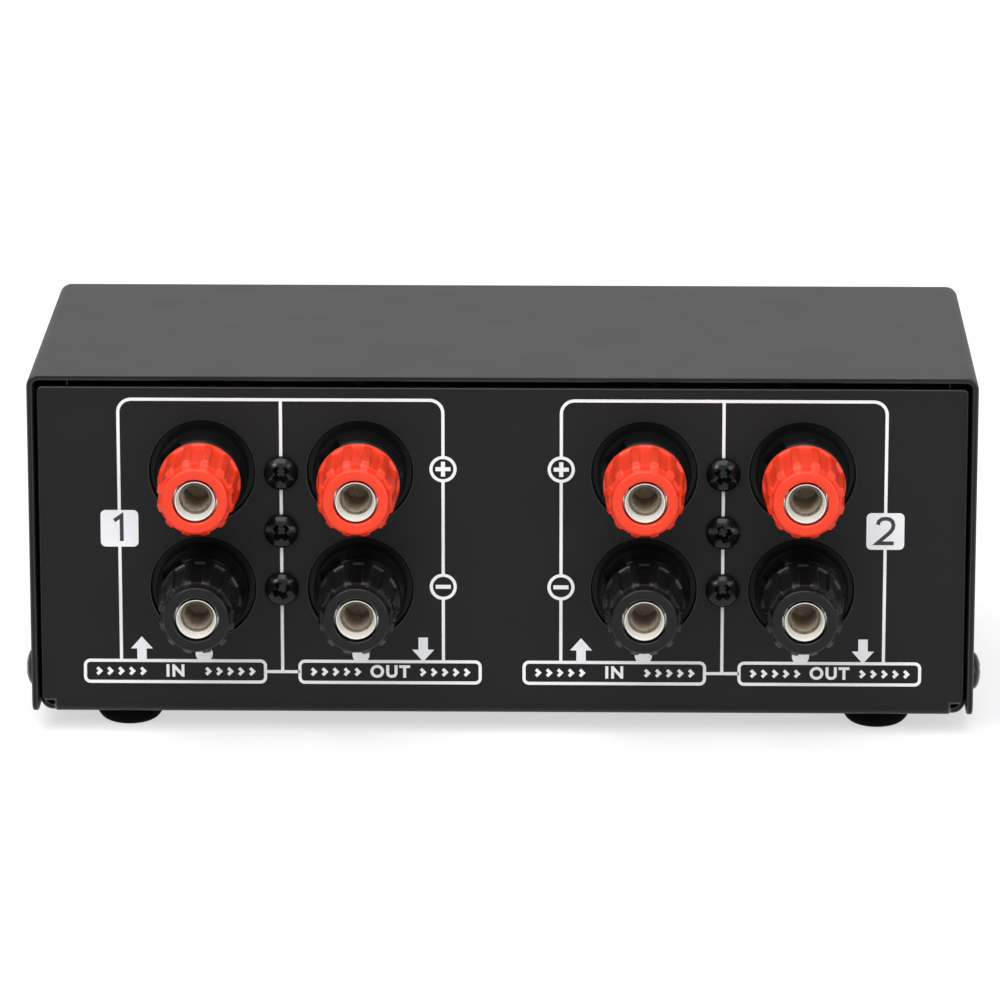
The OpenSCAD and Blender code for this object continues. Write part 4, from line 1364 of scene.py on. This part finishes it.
@dataclass(frozen=True)
class VolumeKnobs(SubAssembly):
    """The two fluted knobs and their printed dials. Heights run outwards from the front panel."""

    gap: float = 1.25 * MM
    skirt_r: float = 15.5 * MM
    skirt_h: float = 2.6 * MM
    grip_r: float = 14.3 * MM
    soft: float = 0.3 * MM
    top: float = 18.75 * MM
    flutes: int = 24
    flute_steps: int = 12
    flute_rows: tuple[float, ...] = (0, 0.05, 0.1, 0.3, 0.5, 0.7, 0.9, 1)
    flute_depth: float = 0.7 * MM
    edge: float = 1.0 * MM
    dish_r: float = 10.8 * MM
    dish_depth: float = 0.5 * MM
    nut_room_r: float = 9.5 * MM
    hub: float = 7.0 * MM
    shaft_r: float = 3.05 * MM
    shaft_top: float = 15.6 * MM
    pointer_w: float = 1.4 * MM
    pointer_len: float = 8 * MM
    pointer_root: float = 0.3 * MM
    pointer_proud: float = 0.06 * MM
    screw_hole_r: float = 1.55 * MM
    ink: float = 0.03 * MM
    ink_root: float = -0.02 * MM
    tick_r: tuple[float, float] = (17.2 * MM, 19.2 * MM)
    tick_w: float = 0.5 * MM
    number_r: float = 21.4 * MM
    number: float = 3.0 * MM
    sweep: float = 300.0
    numbers: int = 10

    def build(self) -> None:
        """Makes both knobs."""
        patterns = {"knob": self._knob(), "knob_pointer": self._pointer()}
        for channel in Channel:
            place = Face.FRONT.at(f"knob_{channel.label}")
            for node, pattern in patterns.items():
                self.rig.hang_copy(pattern, f"{node}_{channel.label}", place)
            self._dial(channel, place)
        for pattern in patterns.values():
            remove(pattern)

    def _knob(self) -> bpy.types.Object:
        """Makes a knob: smooth skirt, fluted grip, dished face, and a hole for its set screw."""
        steps, groove = self.flute_steps * self.flutes, Groove(self.flutes, 0.5, 0.45)
        knob = grooved("knob_pattern", self._knob_outline(), steps, KNOB_BLACK, groove)
        low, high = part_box("knob_screw_right")
        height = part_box("chassis_base")[0].y - (low.y + high.y) / 2
        place = Matrix.Translation((0, 0, height)) @ Matrix.Rotation(math.pi / 2, 4, "X")
        drilled(knob, KNOB_BLACK, self.screw_hole_r, 0, 2 * self.skirt_r, place)
        shade(knob, 40)
        return knob

    def _knob_outline(self) -> list[Grooved]:
        """Gives a knob's outline, each point with the depth of the flutes there."""
        skirt, face, edge_s = self.gap + self.skirt_h, self.top - self.dish_depth, self.top - self.edge
        soft, first_s = self.soft, skirt + 2 * self.soft
        grip = [
            ((self.grip_r, first_s + (edge_s - first_s) * row), self.flute_depth * min(1.0, 10 * row))
            for row in self.flute_rows
        ]
        edge = [
            (spot, self.flute_depth * (self.top - spot[1]) / self.edge)
            for spot in arc((self.grip_r - self.edge, edge_s), self.edge, 15, 90, 5)
        ]
        return [
            *smooth(
                (0, self.shaft_top), (self.shaft_r, self.shaft_top), (self.shaft_r, self.hub),
                (self.nut_room_r, self.hub), (self.nut_room_r, self.gap),
                (self.skirt_r - soft, self.gap), (self.skirt_r, self.gap + soft),
                *arc((self.skirt_r - 2 * soft, skirt - 2 * soft), 2 * soft, 0, 90, 5),
                (self.grip_r, skirt), (self.grip_r, skirt + soft),
            ),
            *grip,
            *edge,
            *smooth(
                (self.dish_r + soft, self.top), (self.dish_r, self.top - soft / 2),
                (self.dish_r - soft / 2, face), (0, face),
            ),
        ]

    def _pointer(self) -> bpy.types.Object:
        """Makes a pointer: a white inlay that stands just proud of the dish."""
        far, half = self.dish_r - 2 * self.soft, self.pointer_w / 2
        outline = rounded((-half, far - self.pointer_len), (half, far), 0.45 * self.pointer_w)
        face = self.top - self.dish_depth
        form = Form().slab(outline, face - self.pointer_root, face + self.pointer_proud)
        return form.piece("pointer_pattern", WHITE_INK)

    def _dial(self, channel: Channel, place: Matrix) -> None:
        """Prints the scale around a knob: a tick for each step, and plain numbers."""
        level = self.ink_root, self.ink
        form = Form().stroke([(0, radius) for radius in self.tick_r], self.tick_w, *level)
        tick = form.piece("tick", WHITE_INK)
        half = math.radians(self.sweep / 2)
        step = 2 * half / self.numbers
        spots = [Vector((0, 0, 0))] * (self.numbers + 1)
        ticks = repeated(f"dial_ticks_{channel.label}", tick, spots, WHITE_INK, Start=half, Step=-step)
        ticks.data.transform(place)
        numbers = Form()
        for k in range(self.numbers + 1):
            angle = step * k - half
            spot = (self.number_r * math.sin(angle), self.number_r * math.cos(angle))
            numbers.lettering(str(k), spot, self.number, *level)
        self.rig.print_on(ticks)
        self.rig.print_on(numbers.piece(f"dial_numbers_{channel.label}", WHITE_INK, place))


@dataclass(frozen=True)
class Lamp:
    """A soft square lamp that faces the object."""

    name: str
    place: Colour
    size: float
    power: float
    aim: Colour = (0, 0, 30 * MM)

    def hang(self) -> None:
        """Puts the lamp in the scene."""
        data = bpy.data.lights.new(self.name, "AREA")
        data.energy, data.size = self.power, self.size
        lamp = bpy.data.objects.new(self.name, data)
        lamp.location = self.place
        lamp.rotation_euler = (Vector(self.aim) - lamp.location).to_track_quat("-Z", "Y").to_euler()
        bpy.context.scene.collection.objects.link(lamp)


@dataclass(frozen=True)
class Studio:
    """The floor, the soft lamps, the white surroundings and the camera."""

    camera_place: Colour = (-15.5 * MM, 1002.13 * MM, 293.61 * MM)
    camera_forward: Colour = (0.01577, -0.96714, -0.25377)
    lens: float = 228.35
    sensor: float = 36.0
    floor_size: float = 8.0
    floor_z: float = -0.05 * MM
    floor_cloud: float = 0.3
    floor_tones: tuple[Colour, Colour] = ((0.5, 0.5, 0.5), (0.52, 0.52, 0.52))
    floor_glow: float = 0.6
    ambient: float = 0.35
    lamps: tuple[Lamp, ...] = (
        Lamp("key_lamp", (0.15, 0.6, 1.1), 1.2, 15),
        Lamp("front_lamp", (0.7, 1.2, 0.7), 0.4, 4.5),
        Lamp("fill_lamp", (-0.9, 1.1, 0.35), 0.8, 6),
        Lamp("back_lamp", (0.1, -1.0, 1.2), 1.2, 3),
    )

    def build(self) -> None:
        """Sets up everything around the object."""
        self._world()
        self._floor()
        for lamp in self.lamps:
            lamp.hang()
        self._camera()
        bpy.context.scene.view_settings.view_transform = "Standard"

    def _seen(self, nodes: Nodes) -> bpy.types.NodeSocket:
        """Adds a switch that is 1 for camera, glossy and transmission rays."""
        rays = nodes.add("ShaderNodeLightPath").outputs
        seen = nodes.math("MAXIMUM", rays["Is Camera Ray"], rays["Is Glossy Ray"])
        return nodes.math("MAXIMUM", seen, rays["Is Transmission Ray"])

    def _world(self) -> None:
        """Makes a world that is white to look at, and dimmer as a light."""
        world = bpy.data.worlds.new("studio")
        bpy.context.scene.world = world
        world.use_nodes = True
        nodes = Nodes(world.node_tree)
        inputs = {"Value": self._seen(nodes), "To Min": self.ambient, "To Max": 1.0}
        level = nodes.add("ShaderNodeMapRange", inputs).outputs["Result"]
        background = world.node_tree.nodes["Background"].inputs
        nodes.feed(level, background["Strength"])
        nodes.feed(WHITE, background["Color"])

    def _floor(self) -> None:
        """Lays a pale floor that keeps the object's shadow."""
        half = self.floor_size / 2
        corners = [(-half, -half), (half, -half), (half, half), (-half, half)]
        mesh = bpy.data.meshes.new("floor")
        mesh.from_pydata([(x, y, self.floor_z) for x, y in corners], [], [(0, 1, 2, 3)])
        floor = link("floor", mesh)
        bench = Bench("floor_paper")
        bench.dress({
            "Base Color": bench.blend(bench.noise(self.floor_cloud), *self.floor_tones),
            "Roughness": 0.9,
            "Specular IOR Level": 0.0,
            "Emission Color": WHITE,
            "Emission Strength": bench.math("MULTIPLY", self._seen(bench), self.floor_glow),
        })
        mesh.materials.append(bench.material)

    def _camera(self) -> None:
        """Sets up the camera at the photograph's viewing angle."""
        data = bpy.data.cameras.new("camera")
        data.lens, data.sensor_width = self.lens, self.sensor
        camera = bpy.data.objects.new("camera", data)
        camera.location = self.camera_place
        camera.rotation_euler = Vector(self.camera_forward).to_track_quat("-Z", "Y").to_euler()
        bpy.context.scene.collection.objects.link(camera)
        bpy.context.scene.camera = camera


def main() -> None:
    """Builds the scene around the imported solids."""
    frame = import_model()
    rig = Rig(frame)
    Studio().build()
    rig.dress()
    for kind in (Case, TerminalBlocks, BindingPosts, RearPrint, VolumeKnobs):
        kind(rig).build()


if __name__ == "__main__":
    logging.basicConfig(level=logging.INFO, format="%(name)s: %(message)s")
    main()
